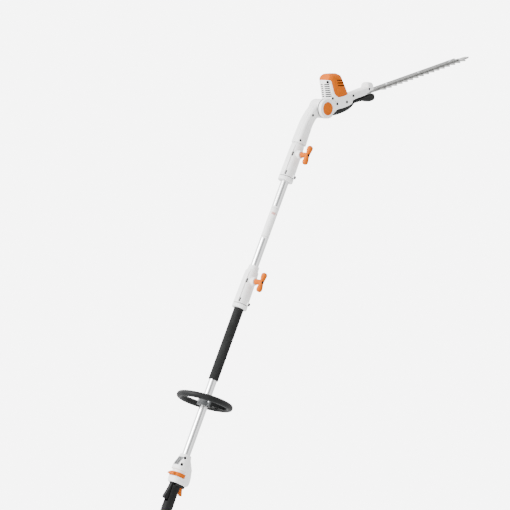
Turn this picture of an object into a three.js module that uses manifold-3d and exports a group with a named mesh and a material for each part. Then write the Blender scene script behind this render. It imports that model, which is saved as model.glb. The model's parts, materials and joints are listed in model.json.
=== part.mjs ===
// Cordless pole hedge trimmer: a three-section shaft with a battery handle at one end and a
// tilting cutter head at the other. Units are millimetres. The shaft lies along +Z towards the
// cutter head, +X is the trigger side and +Y is the left side. The origin is on the shaft's axis,
// level with the middle of the rear grip.
import * as THREE from 'three';
import { mergeVertices } from 'three/addons/utils/BufferGeometryUtils.js';
import Module from 'manifold-3d';

const wasm = await Module();
wasm.setup();

// Driving dimensions

const GAP = 0.3; // between neighbouring pieces
const WALL = 3; // moulded shells
const TUBE_RADIUS = 12.7;
const TUBE_WALL = 1.5;
const BORE_RADIUS = TUBE_RADIUS + GAP;

const GRIP_X = 0; // the grip's centre line
const GRIP_TOP = 61;
const GRIP_BOTTOM = -60;
const HOUSING_BOTTOM = 68;
const HOUSING_TOP = 161;
const SLIDE_LOW = 88;
const SLIDE_THICK = 12;
const SLIDE_TRAVEL = 8;
const BAY_BOTTOM = -158;
const BATTERY_TOP = -92;
const BATTERY_BOTTOM = -167;

const REAR_TUBE_LOW = 104;
const RING_HEIGHT = 336;
const RING_CENTRE_X = -3;
const RING_RADIUS = 79.6;
const RING_SECTION = 9.9;
const RING_LEAN = THREE.MathUtils.degToRad(-2.7); // about both X and Y
const COLLAR_TOP = 9.5; // a coupling's collar, from its own height up
const COLLAR_DROP = 4.5; // and down
const FOAM_LOW = 406.5;
const FOAM_RADIUS = 15.5;

const COUPLING_LENGTH = 138;
const LOWER_COUPLING = 649;
const UPPER_COUPLING = 1080;
const KNOB_HEIGHT = 88; // above the coupling's lower end
const KNOB_HUB = 32; // distance of the knob's hub from the shaft's axis
const KNOB_WING = 58;
const TUBE_STOP = 48; // the lower tube ends here inside a coupling
const TUBE_ENTRY = 52; // the upper tube starts here inside a coupling

const PIVOT_X = 34;
const PIVOT_Z = 1344;
const HEAD_TILT = THREE.MathUtils.degToRad(50); // blade's angle from the shaft's line
const DRUM_RADIUS = 30;
const DRUM_HALF = 21.5;
const EAR_RADIUS = 31;
const EAR_INNER = 22.3;
const EAR_OUTER = 36;
const BUTTON_RADIUS = 20.5;
const BUTTON_FACE = -38;

const MOTOR_AT = 67; // along the blade from the pivot
const CRANK_AT = 94;
const PINION_TEETH = 8;
const CRANK_TEETH = 30;
const GEAR_MODULE = (2 * (CRANK_AT - MOTOR_AT)) / (PINION_TEETH + CRANK_TEETH);
const THROW = 8.5; // of each eccentric
const UPPER_BLADE = -3.8; // underside of the upper blade
const LOWER_BLADE = -6.2;
const BLADE_THICK = 2;
const BAR_BASE = -1.4;
const BAR_END = 650;
const BLADE_TIP = 700;
const FIRST_TOOTH = 270;
const TOOTH_PITCH = 25.5;
const TOOTH_COUNT = 16;
const TOOTH_REACH = 33;
const BLADE_HALF = 12.5;
const BLADE_BOLTS = [308.25, 461.25, 614.25];

// Materials

function finish(colour, roughness, metalness = 0) {
  return new THREE.MeshStandardMaterial({ color: colour, roughness, metalness });
}

const whitePlastic = finish(0xe9e9e7, 0.45);
const orangePlastic = finish(0xf07814, 0.42);
const blackPlastic = finish(0x2b2e2e, 0.6);
const greyPlastic = finish(0x55585a, 0.6);
const softGrip = finish(0x232626, 0.8);
const foam = finish(0x2c2e2d, 0.95);
const aluminium = finish(0xc4c7ca, 0.32, 0.9);
const steel = finish(0xa3a6a8, 0.35, 0.9);
const blade = finish(0x9a9d9c, 0.38, 0.85);
const circuitGreen = finish(0x1f5a38, 0.6);

// Basic shapes, as closed solids

function solid(geometry) {
  geometry.deleteAttribute('normal');
  geometry.deleteAttribute('uv');
  const merged = mergeVertices(geometry, 1e-4);
  const corners = merged.index.array;
  const faces = [];
  for (let i = 0; i < corners.length; i += 3) {
    const [a, b, c] = [corners[i], corners[i + 1], corners[i + 2]];
    if (a !== b && b !== c && c !== a) faces.push(a, b, c);
  }
  const mesh = new wasm.Mesh({
    numProp: 3,
    vertProperties: Float32Array.from(merged.attributes.position.array),
    triVerts: Uint32Array.from(faces),
  });
  return new wasm.Manifold(mesh);
}

function join(...solids) {
  return solids.reduce((whole, next) => whole.add(next));
}

function cut(whole, ...tools) {
  return tools.reduce((rest, tool) => rest.subtract(tool), whole);
}

function block([x0, x1], [y0, y1], [z0, z1]) {
  const geometry = new THREE.BoxGeometry(x1 - x0, y1 - y0, z1 - z0);
  geometry.translate((x0 + x1) / 2, (y0 + y1) / 2, (z0 + z1) / 2);
  return solid(geometry);
}

// A cylinder or cone between two points.
function rod(radius, from, to, sides = 14, endRadius = radius) {
  const start = new THREE.Vector3(...from);
  const end = new THREE.Vector3(...to);
  const along = end.clone().sub(start);
  const geometry = new THREE.CylinderGeometry(endRadius, radius, along.length(), sides);
  const turn = new THREE.Quaternion();
  turn.setFromUnitVectors(new THREE.Vector3(0, 1, 0), along.normalize());
  geometry.applyQuaternion(turn);
  const middle = start.add(end).multiplyScalar(0.5);
  geometry.translate(middle.x, middle.y, middle.z);
  return solid(geometry);
}

// A profile of [radius, z] points turned round a line parallel to Z.
function turned(profile, x = 0) {
  const points = profile.map(([radius, z]) => new THREE.Vector2(radius, z));
  points.push(points[0].clone());
  const geometry = new THREE.LatheGeometry(points, 24);
  geometry.rotateX(Math.PI / 2);
  geometry.translate(x, 0, 0);
  return solid(geometry);
}

// A side view of [x, z] points, given its width between two Y values.
function sideView(points, [y0, y1]) {
  const shape = new THREE.Shape(points.map(([x, z]) => new THREE.Vector2(x, z)));
  const geometry = new THREE.ExtrudeGeometry(shape, { depth: y1 - y0, bevelEnabled: false });
  geometry.rotateX(Math.PI / 2);
  geometry.translate(0, y1, 0);
  return solid(geometry);
}

// A plan of [x, y] points, given its height between two Z values.
function plan(points, [z0, z1]) {
  const shape = new THREE.Shape(points.map(([x, y]) => new THREE.Vector2(x, y)));
  const geometry = new THREE.ExtrudeGeometry(shape, { depth: z1 - z0, bevelEnabled: false });
  geometry.translate(0, 0, z0);
  return solid(geometry);
}

// A skin over rounded sections. Each section is [x, z, half length, half width, turn in degrees],
// where turn leans the section's normal from +Z towards +X.
function loft(sections, { power = 2.6, sides = 20, inset = 0, y = 0 } = {}) {
  const positions = [];
  for (const [x, z, halfLength, halfWidth, turn = 0] of sections) {
    const lean = THREE.MathUtils.degToRad(turn);
    for (let i = 0; i < sides; i += 1) {
      const angle = (2 * Math.PI * i) / sides;
      const c = Math.cos(angle);
      const s = Math.sin(angle);
      const u = Math.sign(c) * Math.abs(c) ** (2 / power) * (halfLength - inset);
      const v = Math.sign(s) * Math.abs(s) ** (2 / power) * (halfWidth - inset);
      positions.push(x + u * Math.cos(lean), y + v, z - u * Math.sin(lean));
    }
  }
  const faces = [];
  for (let ring = 0; ring < sections.length - 1; ring += 1) {
    for (let i = 0; i < sides; i += 1) {
      const a = ring * sides + i;
      const b = ring * sides + ((i + 1) % sides);
      faces.push(a, b, b + sides, a, b + sides, a + sides);
    }
  }
  const last = (sections.length - 1) * sides;
  for (let i = 1; i < sides - 1; i += 1) {
    faces.push(0, i + 1, i, last, last + i, last + i + 1);
  }
  const geometry = new THREE.BufferGeometry();
  geometry.setAttribute('position', new THREE.Float32BufferAttribute(positions, 3));
  geometry.setIndex(faces);
  return solid(geometry);
}

const FAR = 2000;
const rightSide = block([-FAR, FAR], [-FAR, -GAP / 2], [-FAR, FAR]);
const leftSide = block([-FAR, FAR], [GAP / 2, FAR], [-FAR, FAR]);

function place(group, name, shape, material) {
  const { vertProperties, triVerts } = shape.getMesh();
  const geometry = new THREE.BufferGeometry();
  geometry.setAttribute('position', new THREE.BufferAttribute(vertProperties, 3));
  geometry.setIndex(new THREE.BufferAttribute(triVerts, 1));
  geometry.computeVertexNormals();
  const mesh = new THREE.Mesh(geometry, material);
  mesh.name = name;
  group.add(mesh);
}

function placeHalves(group, name, shape, material) {
  place(group, `${name}_right`, shape.intersect(rightSide), material);
  place(group, `${name}_left`, shape.intersect(leftSide), material);
}

// A round-headed screw seen on the right side, with its head at the given Y.
function sideScrew([x, z], headY, depth, headRadius = 3.6) {
  const head = rod(headRadius, [x, headY, z], [x, headY + 2.4, z], 12);
  return join(head, rod(1.7, [x, headY + 1, z], [x, headY + depth, z], 6));
}

function screwHole([x, z], headY, depth, headRadius = 3.6) {
  const wide = rod(headRadius + GAP, [x, headY - 30, z], [x, headY + 2.4 + GAP, z], 10);
  return join(wide, rod(1.7 + GAP, [x, headY, z], [x, headY + depth + GAP, z], 6));
}

// Handle end

const HOUSING_SECTIONS = [
  [4, HOUSING_BOTTOM, 28, 21],
  [7, 76, 33, 24.5],
  [6.5, 96, 33.5, 25],
  [2.6, 124, 29.4, 23.6],
  [0.3, 147, 18.3, 18.3],
  [0, HOUSING_TOP, 15.5, 15.5],
];
const HOUSING_SCREWS = [[-12.5, 149, -14.6], [-18.5, 126, -17.4]]; // X, Z and the head's Y
const GROOVE_LOW = SLIDE_LOW - 1;
const GROOVE_HIGH = SLIDE_LOW + SLIDE_THICK + SLIDE_TRAVEL + 1;
const GROOVE_SECTIONS = [[6.5, GROOVE_LOW, 30, 21.5], [6.5, GROOVE_HIGH, 30, 21.5]];

function collarBand(low, high, inner, outer) {
  const band = cut(
    loft([[6.5, low, 30 + outer, 21.5 + outer], [6.5, high, 30 + outer, 21.5 + outer]]),
    loft([[6.5, low - 1, 30 + inner, 21.5 + inner], [6.5, high + 1, 30 + inner, 21.5 + inner]]),
  );
  return cut(band, block([3, 100], [-60, 60], [low - 2, high + 2]));
}

function controlHousing(group) {
  const outer = loft(HOUSING_SECTIONS, { power: 3 });
  const inner = loft(HOUSING_SECTIONS.slice(0, -1), { power: 3, inset: WALL + 1 });
  const chin = sideView([[16, 60], [60, 60], [60, 82], [44, 79]], [-60, 60]);
  const groove = collarBand(GROOVE_LOW, GROOVE_HIGH, 0, 20);
  const lining = cut(loft(GROOVE_SECTIONS), loft(GROOVE_SECTIONS, { inset: WALL }));
  const cavity = cut(inner, lining);
  const vent = sideView([[-40, 122], [-22.2, 122], [-13.5, 150.2], [-40, 150.2]], [-11, 11]);
  const shell = cut(
    outer,
    cavity,
    groove,
    chin,
    vent,
    block([-11, 23], [-12, 12], [60, 80]),
    rod(BORE_RADIUS, [0, 0, 100], [0, 0, 170], 24),
    ...HOUSING_SCREWS.map(([x, z, headY]) => screwHole([x, z], headY, 4.2)),
    block([-16, -9], [-7.6, 7.6], [60, 80]),
  );
  placeHalves(group, 'control_housing', shell, whitePlastic);
  const screws = HOUSING_SCREWS.map(([x, z, headY]) => sideScrew([x, z], headY, 4.2));
  place(group, 'housing_screw_upper', screws[0], steel);
  place(group, 'housing_screw_lower', screws[1], steel);
}

function ventGrille(group) {
  const outline = [[-26, 122.6], [-22.7, 122.6], [-14.3, 149.6], [-17.3, 149.6]];
  const frame = sideView(outline, [-10.6, 10.6]);
  const slots = [];
  for (let row = 0; row < 5; row += 1) {
    const z = 126 + row * 4.6;
    slots.push(block([-40, 0], [-8, -1], [z, z + 2.2]), block([-40, 0], [1, 8], [z, z + 2.2]));
  }
  place(group, 'vent_grille', cut(frame, ...slots), greyPlastic);
}

const GRIP_SECTIONS = [
  [GRIP_X, GRIP_BOTTOM, 19, 17],
  [GRIP_X, -44, 17, 15],
  [GRIP_X, 0, 17.5, 15],
  [GRIP_X, 40, 17, 14.5],
  [GRIP_X, GRIP_TOP, 18, 15.5],
];

function grip(group) {
  const shell = cut(
    loft(GRIP_SECTIONS, { power: 2.4 }),
    loft([[GRIP_X, -70, 14, 12], [GRIP_X, 70, 14, 12]], { power: 2.4 }),
    block([GRIP_X + 4, 60], [-7.2, 7.2], [34, 70]),
    block([-40, GRIP_X - 4], [-8.2, 8.2], [8, 70]),
  );
  placeHalves(group, 'grip_shell', shell, softGrip);
}

const BEZEL_X = 4.5;

function triggerBezel(group) {
  const sections = [[BEZEL_X, GRIP_TOP + GAP, 25.5, 19], [BEZEL_X, HOUSING_BOTTOM - GAP, 27, 20.5]];
  const ring = cut(loft(sections, { power: 3 }), block([-30, 28.4], [-8.4, 8.4], [50, 90]));
  place(group, 'trigger_bezel', cut(ring, block([-60, -9], [-60, 60], [50, 90])), blackPlastic);
}

const TRIGGER_PIN = [20, 70];

function trigger(group) {
  const outline = [[16, 66], [24, 66], [28, 60], [35.5, 40.5], [32, 38.5], [25, 47], [16, 52]];
  const paddle = sideView(outline, [-6.4, 6.4]);
  const eye = rod(5, [TRIGGER_PIN[0], -6.4, TRIGGER_PIN[1]], [TRIGGER_PIN[0], 6.4, TRIGGER_PIN[1]], 20);
  const bore = rod(2.3, [TRIGGER_PIN[0], -20, TRIGGER_PIN[1]], [TRIGGER_PIN[0], 20, TRIGGER_PIN[1]], 16);
  const coilRoom = block([13, 39], [-2.6, 2.6], [61, 80]);
  place(group, 'trigger', cut(join(paddle, eye), bore, coilRoom), orangePlastic);
  const pin = rod(2, [TRIGGER_PIN[0], -8.2, TRIGGER_PIN[1]], [TRIGGER_PIN[0], 8.2, TRIGGER_PIN[1]], 16);
  place(group, 'trigger_pin', pin, steel);
}

// A torsion spring wound round the trigger's pin.
class Helix extends THREE.Curve {
  getPoint(t, target = new THREE.Vector3()) {
    const angle = t * 3 * 2 * Math.PI;
    const x = TRIGGER_PIN[0] + 3.2 * Math.cos(angle);
    const z = TRIGGER_PIN[1] + 3.2 * Math.sin(angle);
    return target.set(x, -1.9 + 3.8 * t, z);
  }
}

function triggerSpring(group) {
  const wire = new THREE.Shape();
  wire.absarc(0, 0, 0.45, 0, 2 * Math.PI);
  const options = { steps: 24, curveSegments: 3, bevelEnabled: false, extrudePath: new Helix() };
  place(group, 'trigger_spring', solid(new THREE.ExtrudeGeometry(wire, options)), steel);
}

function lockoutLever(group) {
  const back = [[-13, 72], [-17, 72], [-20, 64], [-24, 44], [-30.5, 18]];
  const outline = [...back, [-27.5, 13], [-10, 12], [-6, 30], [-7, 62]];
  const body = sideView(outline, [-6, 6]);
  const trunnions = rod(2, [-14, -7.4, 68.5], [-14, 7.4, 68.5], 12);
  place(group, 'lockout_lever', join(body, trunnions), blackPlastic);
}

function releaseSlide(group) {
  const low = SLIDE_LOW;
  const high = SLIDE_LOW + SLIDE_THICK;
  const band = collarBand(low, high, 0.4, 5.5);
  const outline = [[-24.5, low + 1], [-36, low + 1], [-36, low + 5], [-27, high - 1], [-24.5, high - 1]];
  const hollow = loft([[6.5, low - 5, 30.4, 21.9], [6.5, high + 5, 30.4, 21.9]]);
  const thumb = cut(sideView(outline, [-13, 13]), hollow);
  place(group, 'release_slide', join(band, thumb), orangePlastic);
}

function powerSwitch(group) {
  const body = block([0, 8.5], [-6, 6], [40, 58]);
  const plunger = block([8, 11], [-2, 2], [46, 50]);
  place(group, 'power_switch', join(body, plunger), blackPlastic);
}

function controlBoard(group) {
  const board = block([-12, 24], [-1, 1], [100, 130]);
  const parts = [block([18, 24], [0.5, 8], [102, 112]), block([16, 23], [0.5, 6], [116, 128])];
  const roomForTube = rod(16, [0, 0, 90], [0, 0, 150], 24);
  place(group, 'control_board', cut(join(board, ...parts), roomForTube), circuitGreen);
}

const BAY_SECTIONS = [
  [GRIP_X, GRIP_BOTTOM - GAP, 20, 18],
  [GRIP_X, -72, 27, 26],
  [GRIP_X, -88, 38, 36],
  [GRIP_X, -140, 39.5, 37],
  [GRIP_X, BAY_BOTTOM, 38, 36],
].reverse();
const BATTERY_HALF = [31.5, 29.5];

function batteryBay(group) {
  const [halfX, halfY] = BATTERY_HALF;
  const room = [[GRIP_X, -200, halfX + GAP, halfY + GAP], [GRIP_X, -86, halfX + GAP, halfY + GAP]];
  const shell = cut(
    loft(BAY_SECTIONS, { power: 4 }),
    loft(room, { power: 5 }),
    loft([[GRIP_X, -90, 12, 10], [GRIP_X, -40, 12, 10]]),
    block([-60, GRIP_X - 20], [-13, 13], [-146, -110]),
  );
  place(group, 'battery_bay', shell, whitePlastic);
}

function batteryTerminals(group) {
  const base = block([GRIP_X - 16, GRIP_X + 16], [-20, 20], [-90.5, -86.5]);
  place(group, 'battery_terminals', base, blackPlastic);
}

function batteryPack(group) {
  const [halfX, halfY] = BATTERY_HALF;
  const sections = [
    [GRIP_X, BATTERY_BOTTOM, halfX - 4, halfY - 4],
    [GRIP_X, BATTERY_BOTTOM + 3, halfX, halfY],
    [GRIP_X, BATTERY_TOP, halfX, halfY],
  ];
  place(group, 'battery_pack', loft(sections, { power: 5 }), greyPlastic);
}

function batteryLatch(group) {
  const outline = [
    [-39.5, -145], [-36, -145], [-32.8, -142], [-32.8, -139],
    [-35, -136], [-35, -111], [-39, -111], [-41, -120],
  ];
  const paddle = sideView(outline, [-12.5, 12.5]);
  place(group, 'battery_latch', paddle, orangePlastic);
}

function rearTube(group) {
  const top = LOWER_COUPLING + TUBE_STOP;
  place(group, 'rear_tube', tube(REAR_TUBE_LOW, top), aluminium);
}

function tube(low, high) {
  const inner = TUBE_RADIUS - TUBE_WALL;
  return turned([[inner, low], [TUBE_RADIUS, low], [TUBE_RADIUS, high], [inner, high]]);
}

function foamSleeve(group) {
  const inner = TUBE_RADIUS + GAP;
  const [low, high] = [FOAM_LOW, LOWER_COUPLING - COLLAR_DROP - GAP];
  const profile = [
    [inner, low],
    [FOAM_RADIUS - 1.5, low],
    [FOAM_RADIUS, low + 2],
    [FOAM_RADIUS, high - 1],
    [FOAM_RADIUS - 1, high],
    [inner, high],
  ];
  place(group, 'foam_sleeve', turned(profile), foam);
}

function innerCable(group, name, low, high) {
  place(group, name, rod(3, [0, 0, low], [0, 0, high], 12), blackPlastic);
}

function connector(group, name, low, high) {
  const radius = TUBE_RADIUS - TUBE_WALL - GAP;
  const body = rod(radius, [0, 0, low], [0, 0, high], 24);
  const pins = [0, 120, 240].map((degrees) => {
    const angle = THREE.MathUtils.degToRad(degrees);
    const at = [5.5 * Math.cos(angle), 5.5 * Math.sin(angle)];
    return rod(1.4, [...at, low - 1], [...at, low + 6], 10);
  });
  place(group, name, cut(body, ...pins), blackPlastic);
}

// Ring handle, clamped to the rear tube

const CLAMP_HALF = 14;
const RING_SCREW_Y = 21;

function ringHandle(group) {
  const ringShape = new THREE.TorusGeometry(RING_RADIUS, RING_SECTION, 8, 32);
  ringShape.rotateY(RING_LEAN);
  ringShape.rotateX(RING_LEAN);
  ringShape.translate(RING_CENTRE_X, 0, RING_HEIGHT);
  const low = RING_HEIGHT - CLAMP_HALF;
  const high = RING_HEIGHT + CLAMP_HALF;
  const hub = join(
    rod(20, [0, 0, low], [0, 0, high], 24),
    block([-7, 9], [-28, 28], [low, high]),
  );
  const web = sideView(
    [[10, RING_HEIGHT - 9], [75, RING_HEIGHT - 0.5], [75, RING_HEIGHT + 8], [10, RING_HEIGHT + 9]],
    [-23, 23],
  );
  const bore = rod(BORE_RADIUS, [0, 0, low - 5], [0, 0, high + 5], 24);
  const front = block([GAP, 200], [-60, 60], [low - 10, high + 10]);
  const back = block([-60, -GAP], [-60, 60], [low - 10, high + 10]);
  const holes = [-1, 1].map((side) => ringScrew(side, GAP));
  const window = block([34, 60], [-13, 13], [RING_HEIGHT - 30, RING_HEIGHT + 30]);
  const handle = join(solid(ringShape), cut(join(hub, web).intersect(front), bore, window));
  place(group, 'ring_handle', cut(handle, ...holes), blackPlastic);
  place(group, 'ring_clamp_cap', cut(hub.intersect(back), bore, ...holes), greyPlastic);
  place(group, 'ring_screw_right', ringScrew(-1, 0), steel);
  place(group, 'ring_screw_left', ringScrew(1, 0), steel);
}

function ringScrew(side, clearance) {
  const y = side * RING_SCREW_Y;
  const head = rod(4.6 + clearance, [-11, y, RING_HEIGHT], [-5 + clearance, y, RING_HEIGHT], 16);
  return join(head, rod(2.4 + clearance, [-7, y, RING_HEIGHT], [7 + clearance, y, RING_HEIGHT], 12));
}

// Clamp couplings between the shaft sections, measured from their own height

function couplingBody(name) {
  const outer = loft(
    [
      [-0.5, COLLAR_TOP + GAP, 22.5, 22],
      [-0.5, 20, 22.3, 21.8],
      [-0.5, 90, 21, 21],
      [-0.5, 117, 19.6, 20],
      [0, 123.5, 16.6, 16.6],
      [0, COUPLING_LENGTH, 15.6, 15.6],
    ],
    { power: 2.4 },
  );
  const boss = rod(15.5, [0, -14, KNOB_HEIGHT], [0, -30, KNOB_HEIGHT], 18, 12);
  const outline = [[-24, 12], [-16, 12], [-16, 120], [-18.5, 120], [-22, 108], [-24, 60]];
  const rail = sideView(outline, [-11, 5]);
  const screwBoss = rod(6, [16, -18.5, 16], [4, -22.5, 16], 16);
  const railSlots = [[13, 26], [76, 90]].map((z) => block([-40, -19.5], [-8.5, -6], z));
  const screwWell = rod(3, [15, -28, 16], [12.5, -18.5, 16], 12);
  const shoeRoom = block([-9.3, 9.3], [-18.3, 0], [KNOB_HEIGHT - 16.3, KNOB_HEIGHT + 16.3]);
  const stud = rod(4.4, [0, -40, KNOB_HEIGHT], [0, -12, KNOB_HEIGHT], 16);
  const bore = rod(BORE_RADIUS, [0, 0, -10], [0, 0, COUPLING_LENGTH + 10], 24);
  const shape = cut(join(outer, boss, rail, screwBoss), bore, ...railSlots, screwWell, shoeRoom, stud);
  return { name: `${name}_coupling_body`, shape, material: whitePlastic };
}

function couplingCollar(name) {
  const inner = BORE_RADIUS + 0.2;
  const outer = [[22, -COLLAR_DROP], [24, 2 - COLLAR_DROP], [24, COLLAR_TOP - 1.5], [22.5, COLLAR_TOP]];
  const profile = [[inner, -COLLAR_DROP], ...outer, [inner, COLLAR_TOP]];
  return { name: `${name}_coupling_collar`, shape: turned(profile), material: whitePlastic };
}

function clampShoe(name) {
  const pad = block([-9, 9], [-17.5, -6], [KNOB_HEIGHT - 16, KNOB_HEIGHT + 16]);
  const shape = cut(pad, rod(BORE_RADIUS, [0, 0, 0], [0, 0, COUPLING_LENGTH], 24));
  return { name: `${name}_clamp_shoe`, shape, material: steel };
}

function wingKnob(name) {
  const hub = rod(9, [0, -KNOB_HUB, KNOB_HEIGHT], [0, -KNOB_WING, KNOB_HEIGHT], 14, 8);
  const stud = rod(4, [0, -18, KNOB_HEIGHT], [0, -KNOB_HUB - 4, KNOB_HEIGHT], 14);
  const reach = 31.5;
  const wing = loft(
    [
      [0, KNOB_HEIGHT - reach, 4, 4],
      [0, KNOB_HEIGHT - reach + 4, 8, 7.5],
      [0, KNOB_HEIGHT - reach + 12, 8.5, 8.5],
      [0, KNOB_HEIGHT, 7, 6],
      [0, KNOB_HEIGHT + reach - 12, 8.5, 8.5],
      [0, KNOB_HEIGHT + reach - 4, 8, 7.5],
      [0, KNOB_HEIGHT + reach, 4, 4],
    ],
    { power: 2.2, sides: 12, y: -KNOB_WING },
  );
  const recess = rod(4, [0, -KNOB_WING - 20, KNOB_HEIGHT], [0, -KNOB_WING - 2, KNOB_HEIGHT], 16);
  const shape = cut(join(hub, stud, wing), recess);
  return { name: `${name}_wing_knob`, shape, material: orangePlastic };
}

function coupling(group, name, height) {
  const here = new THREE.Group();
  here.position.z = height;
  for (const make of [couplingBody, couplingCollar, clampShoe, wingKnob]) {
    const piece = make(name);
    place(here, piece.name, piece.shape, piece.material);
  }
  group.add(here);
}

// Head section: the tube and the curved neck up to the pivot

const NECK_LOW = UPPER_COUPLING + 124;
const NECK_SECTIONS = [
  [0, NECK_LOW, 21, 21],
  [0.5, 1222, 20, 20],
  [1, 1245, 18, 18.4],
  [1.5, 1275, 17.2, 18, 5],
  [5.5, 1303, 17.4, 19.2, 22],
  [16, 1327, 20.5, DRUM_HALF, 38],
  [PIVOT_X - 4, PIVOT_Z - 4, 24, DRUM_HALF, 46],
];

function neck(group) {
  const pivotRod = (radius, y0, y1) => rod(radius, [PIVOT_X, y0, PIVOT_Z], [PIVOT_X, y1, PIVOT_Z], 28);
  const outer = join(loft(NECK_SECTIONS), pivotRod(DRUM_RADIUS, -DRUM_HALF, DRUM_HALF));
  const inside = loft([[1.3, 1262, 17.5, 18], ...NECK_SECTIONS.slice(3)], { inset: WALL });
  const couplingTop = UPPER_COUPLING + COUPLING_LENGTH + 2 * GAP;
  const shell = cut(
    outer,
    inside,
    pivotRod(DRUM_RADIUS - WALL, -DRUM_HALF + WALL, DRUM_HALF - WALL),
    pivotRod(5.4, -40, 40),
    pivotRod(18.5, -40, -DRUM_HALF + 4.6),
    rod(BORE_RADIUS, [0, 0, NECK_LOW - 10], [0, 0, 1270], 24),
    rod(18.2, [0, 0, NECK_LOW - 10], [0, 0, couplingTop], 24),
  );
  placeHalves(group, 'neck_shell', shell, whitePlastic);
  const teeth = [];
  for (let i = 0; i < 48; i += 1) {
    const radius = i % 4 < 2 ? 18 : 15.8;
    const angle = (i / 48) * 2 * Math.PI;
    teeth.push([PIVOT_X + radius * Math.cos(angle), PIVOT_Z + radius * Math.sin(angle)]);
  }
  const disc = sideView(teeth, [-DRUM_HALF + 0.2, -DRUM_HALF + 4.3]);
  place(group, 'detent_disc', cut(disc, pivotRod(5.4, -40, 40)), steel);
}

// Cutter head, in its own frame: X along the blade from the pivot, Z towards the motor

const CORE_SECTIONS = [
  [29, -2, 19, 34, 90],
  [60, -2, 19.5, 33.5, 90],
  [95, -1, 19.5, 31, 90],
  [118, 0, 17.5, 27, 90],
  [134, 4.5, 12, 23, 90],
  [195, 5.5, 12.5, 20.5, 90],
];
const BARREL_SECTIONS = [
  [72, 6, 44, 32.5],
  [72, 20, 44, 33],
  [69, 50, 39, 32],
  [65, 82, 34, 30, 3],
  [65, 91, 28, 26, 8],
  [66, 97, 17, 16, 10],
];
const BARREL_ROOM = [...BARREL_SECTIONS.slice(0, 5), [66, 97 - WALL, 17, 16, 10]];
const HOOD_EDGE = [[0, 86], [38, 83], [44, 68], [46, 40], [54, 26], [71, 21], [150, 20]];
const BELLY_EDGE = [
  [16, -24],
  [28, -20.5],
  [47, -15.5],
  [72, -17.5],
  [100, -17.5],
  [124, -15],
  [136, -15.5],
];
const VENT_ROWS = 7;
const HEAD_SCREWS = [[34, 77, -26], [29.5, 26, -33.5], [46, 4, -32], [91, -1.5, -30], [131, 8.5, -22.2]];

// The band of space above the hood's edge, or below the belly's edge, lowered by a distance.
function above(edge, lift) {
  const line = edge.map(([x, z]) => [x, z + lift]);
  return sideView([...line, [edge.at(-1)[0], 140], [edge[0][0], 140]], [-60, 60]);
}

function below(edge, drop) {
  const line = edge.map(([x, z]) => [x, z - drop]);
  return sideView([...line, [edge.at(-1)[0], -60], [edge[0][0], -60]], [-60, 60]);
}

// The single ear that carries the head, on the right of the neck's drum.
function ear() {
  const outline = [[-12, 27], [36, 24], [36, -13], [18, -22], [-12, -20]];
  const bridge = sideView(outline, [-33.6, -EAR_INNER]);
  return join(rod(EAR_RADIUS, [0, -EAR_OUTER, 0], [0, -EAR_INNER, 0], 28), bridge);
}

function ventSlots() {
  const slots = [];
  for (let row = 0; row < VENT_ROWS; row += 1) {
    const z = 29 + row * 6.4;
    const high = [z, z + 3.3];
    slots.push(block([20, 38.5], [-25, -2.6], high), block([20, 38.5], [2.6, 25], high));
  }
  return slots;
}

function motorHousing(group) {
  const outer = join(loft(CORE_SECTIONS, { power: 4 }), loft(BARREL_SECTIONS), ear());
  const barrelRoom = loft(BARREL_ROOM, { inset: WALL });
  const coreRoom = loft(
    [[37, -2, 17, 31, 90], ...CORE_SECTIONS.slice(1, 5), [215, 5.5, 12.5, 20.5, 90]],
    { power: 4, inset: WALL },
  );
  const drumRoom = rod(34, [0, -EAR_INNER, 0], [0, 50, 0], 28);
  const neckRoom = block([-60, 27], [-EAR_INNER, 50], [-60, 110]);
  const bladeRoom = join(
    block([104, 215], [-17, 17], [-30, 2]),
    block([104, 134], [-19.4, 19.4], [-30, 2]),
  );
  const buttonRoom = rod(BUTTON_RADIUS + GAP, [0, -25.5, 0], [0, -50, 0], 28);
  const shell = cut(
    outer,
    barrelRoom,
    coreRoom,
    drumRoom,
    neckRoom,
    bladeRoom,
    buttonRoom,
    rod(5 + GAP, [0, -60, 0], [0, 60, 0], 20),
    above(HOOD_EDGE, -GAP / 2),
    below(BELLY_EDGE, -GAP / 2),
    ...ventSlots(),
    ...HEAD_SCREWS.map(([x, z, y]) => screwHole([x, z], y, 3, 3)),
  );
  placeHalves(group, 'motor_housing', shell, whitePlastic);
  const barrel = cut(loft(BARREL_SECTIONS), loft(BARREL_ROOM, { inset: WALL }));
  const hood = barrel.intersect(above(HOOD_EDGE, GAP / 2));
  const slots = [0, 1, 2].map((row) => {
    const z = 52 + row * 9;
    return sideView([[64, z + 5], [98, z - 3], [98, z + 0.2], [64, z + 8.2]], [-60, -10]);
  });
  place(group, 'motor_hood', cut(hood, ...slots), orangePlastic);
}

function bellyCover(group) {
  const sections = [
    [20, -22, 5, 20, 90],
    [42, -20, 12, 26, 90],
    [80, -18, 14, 27, 90],
    [110, -16, 12, 25, 90],
    [134, -12, 5, 21.5, 90],
  ];
  const cover = loft(sections, { power: 3.2 }).intersect(below(BELLY_EDGE, GAP / 2));
  const pocket = block([46, 118], [-18, 18], [-26, 0]);
  place(group, 'belly_cover', cut(cover, pocket), blackPlastic);
}

function bladeGuard(group) {
  const sections = [
    [134.5, -12, 4, 20.5, 90],
    [170, -12.5, 5, 20, 90],
    [190, -16, 8.5, 20, 90],
    [208, -19.3, 11.8, 19.5, 90],
    [224, -19.3, 11.6, 19, 90],
    [229, -17, 8.5, 17.5, 90],
  ];
  const body = loft(sections, { power: 3.2 });
  const bladeRoom = block([100, 260], [-17, 17], [-7.8, 5]);
  place(group, 'blade_guard', cut(body, bladeRoom), blackPlastic);
}

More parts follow.
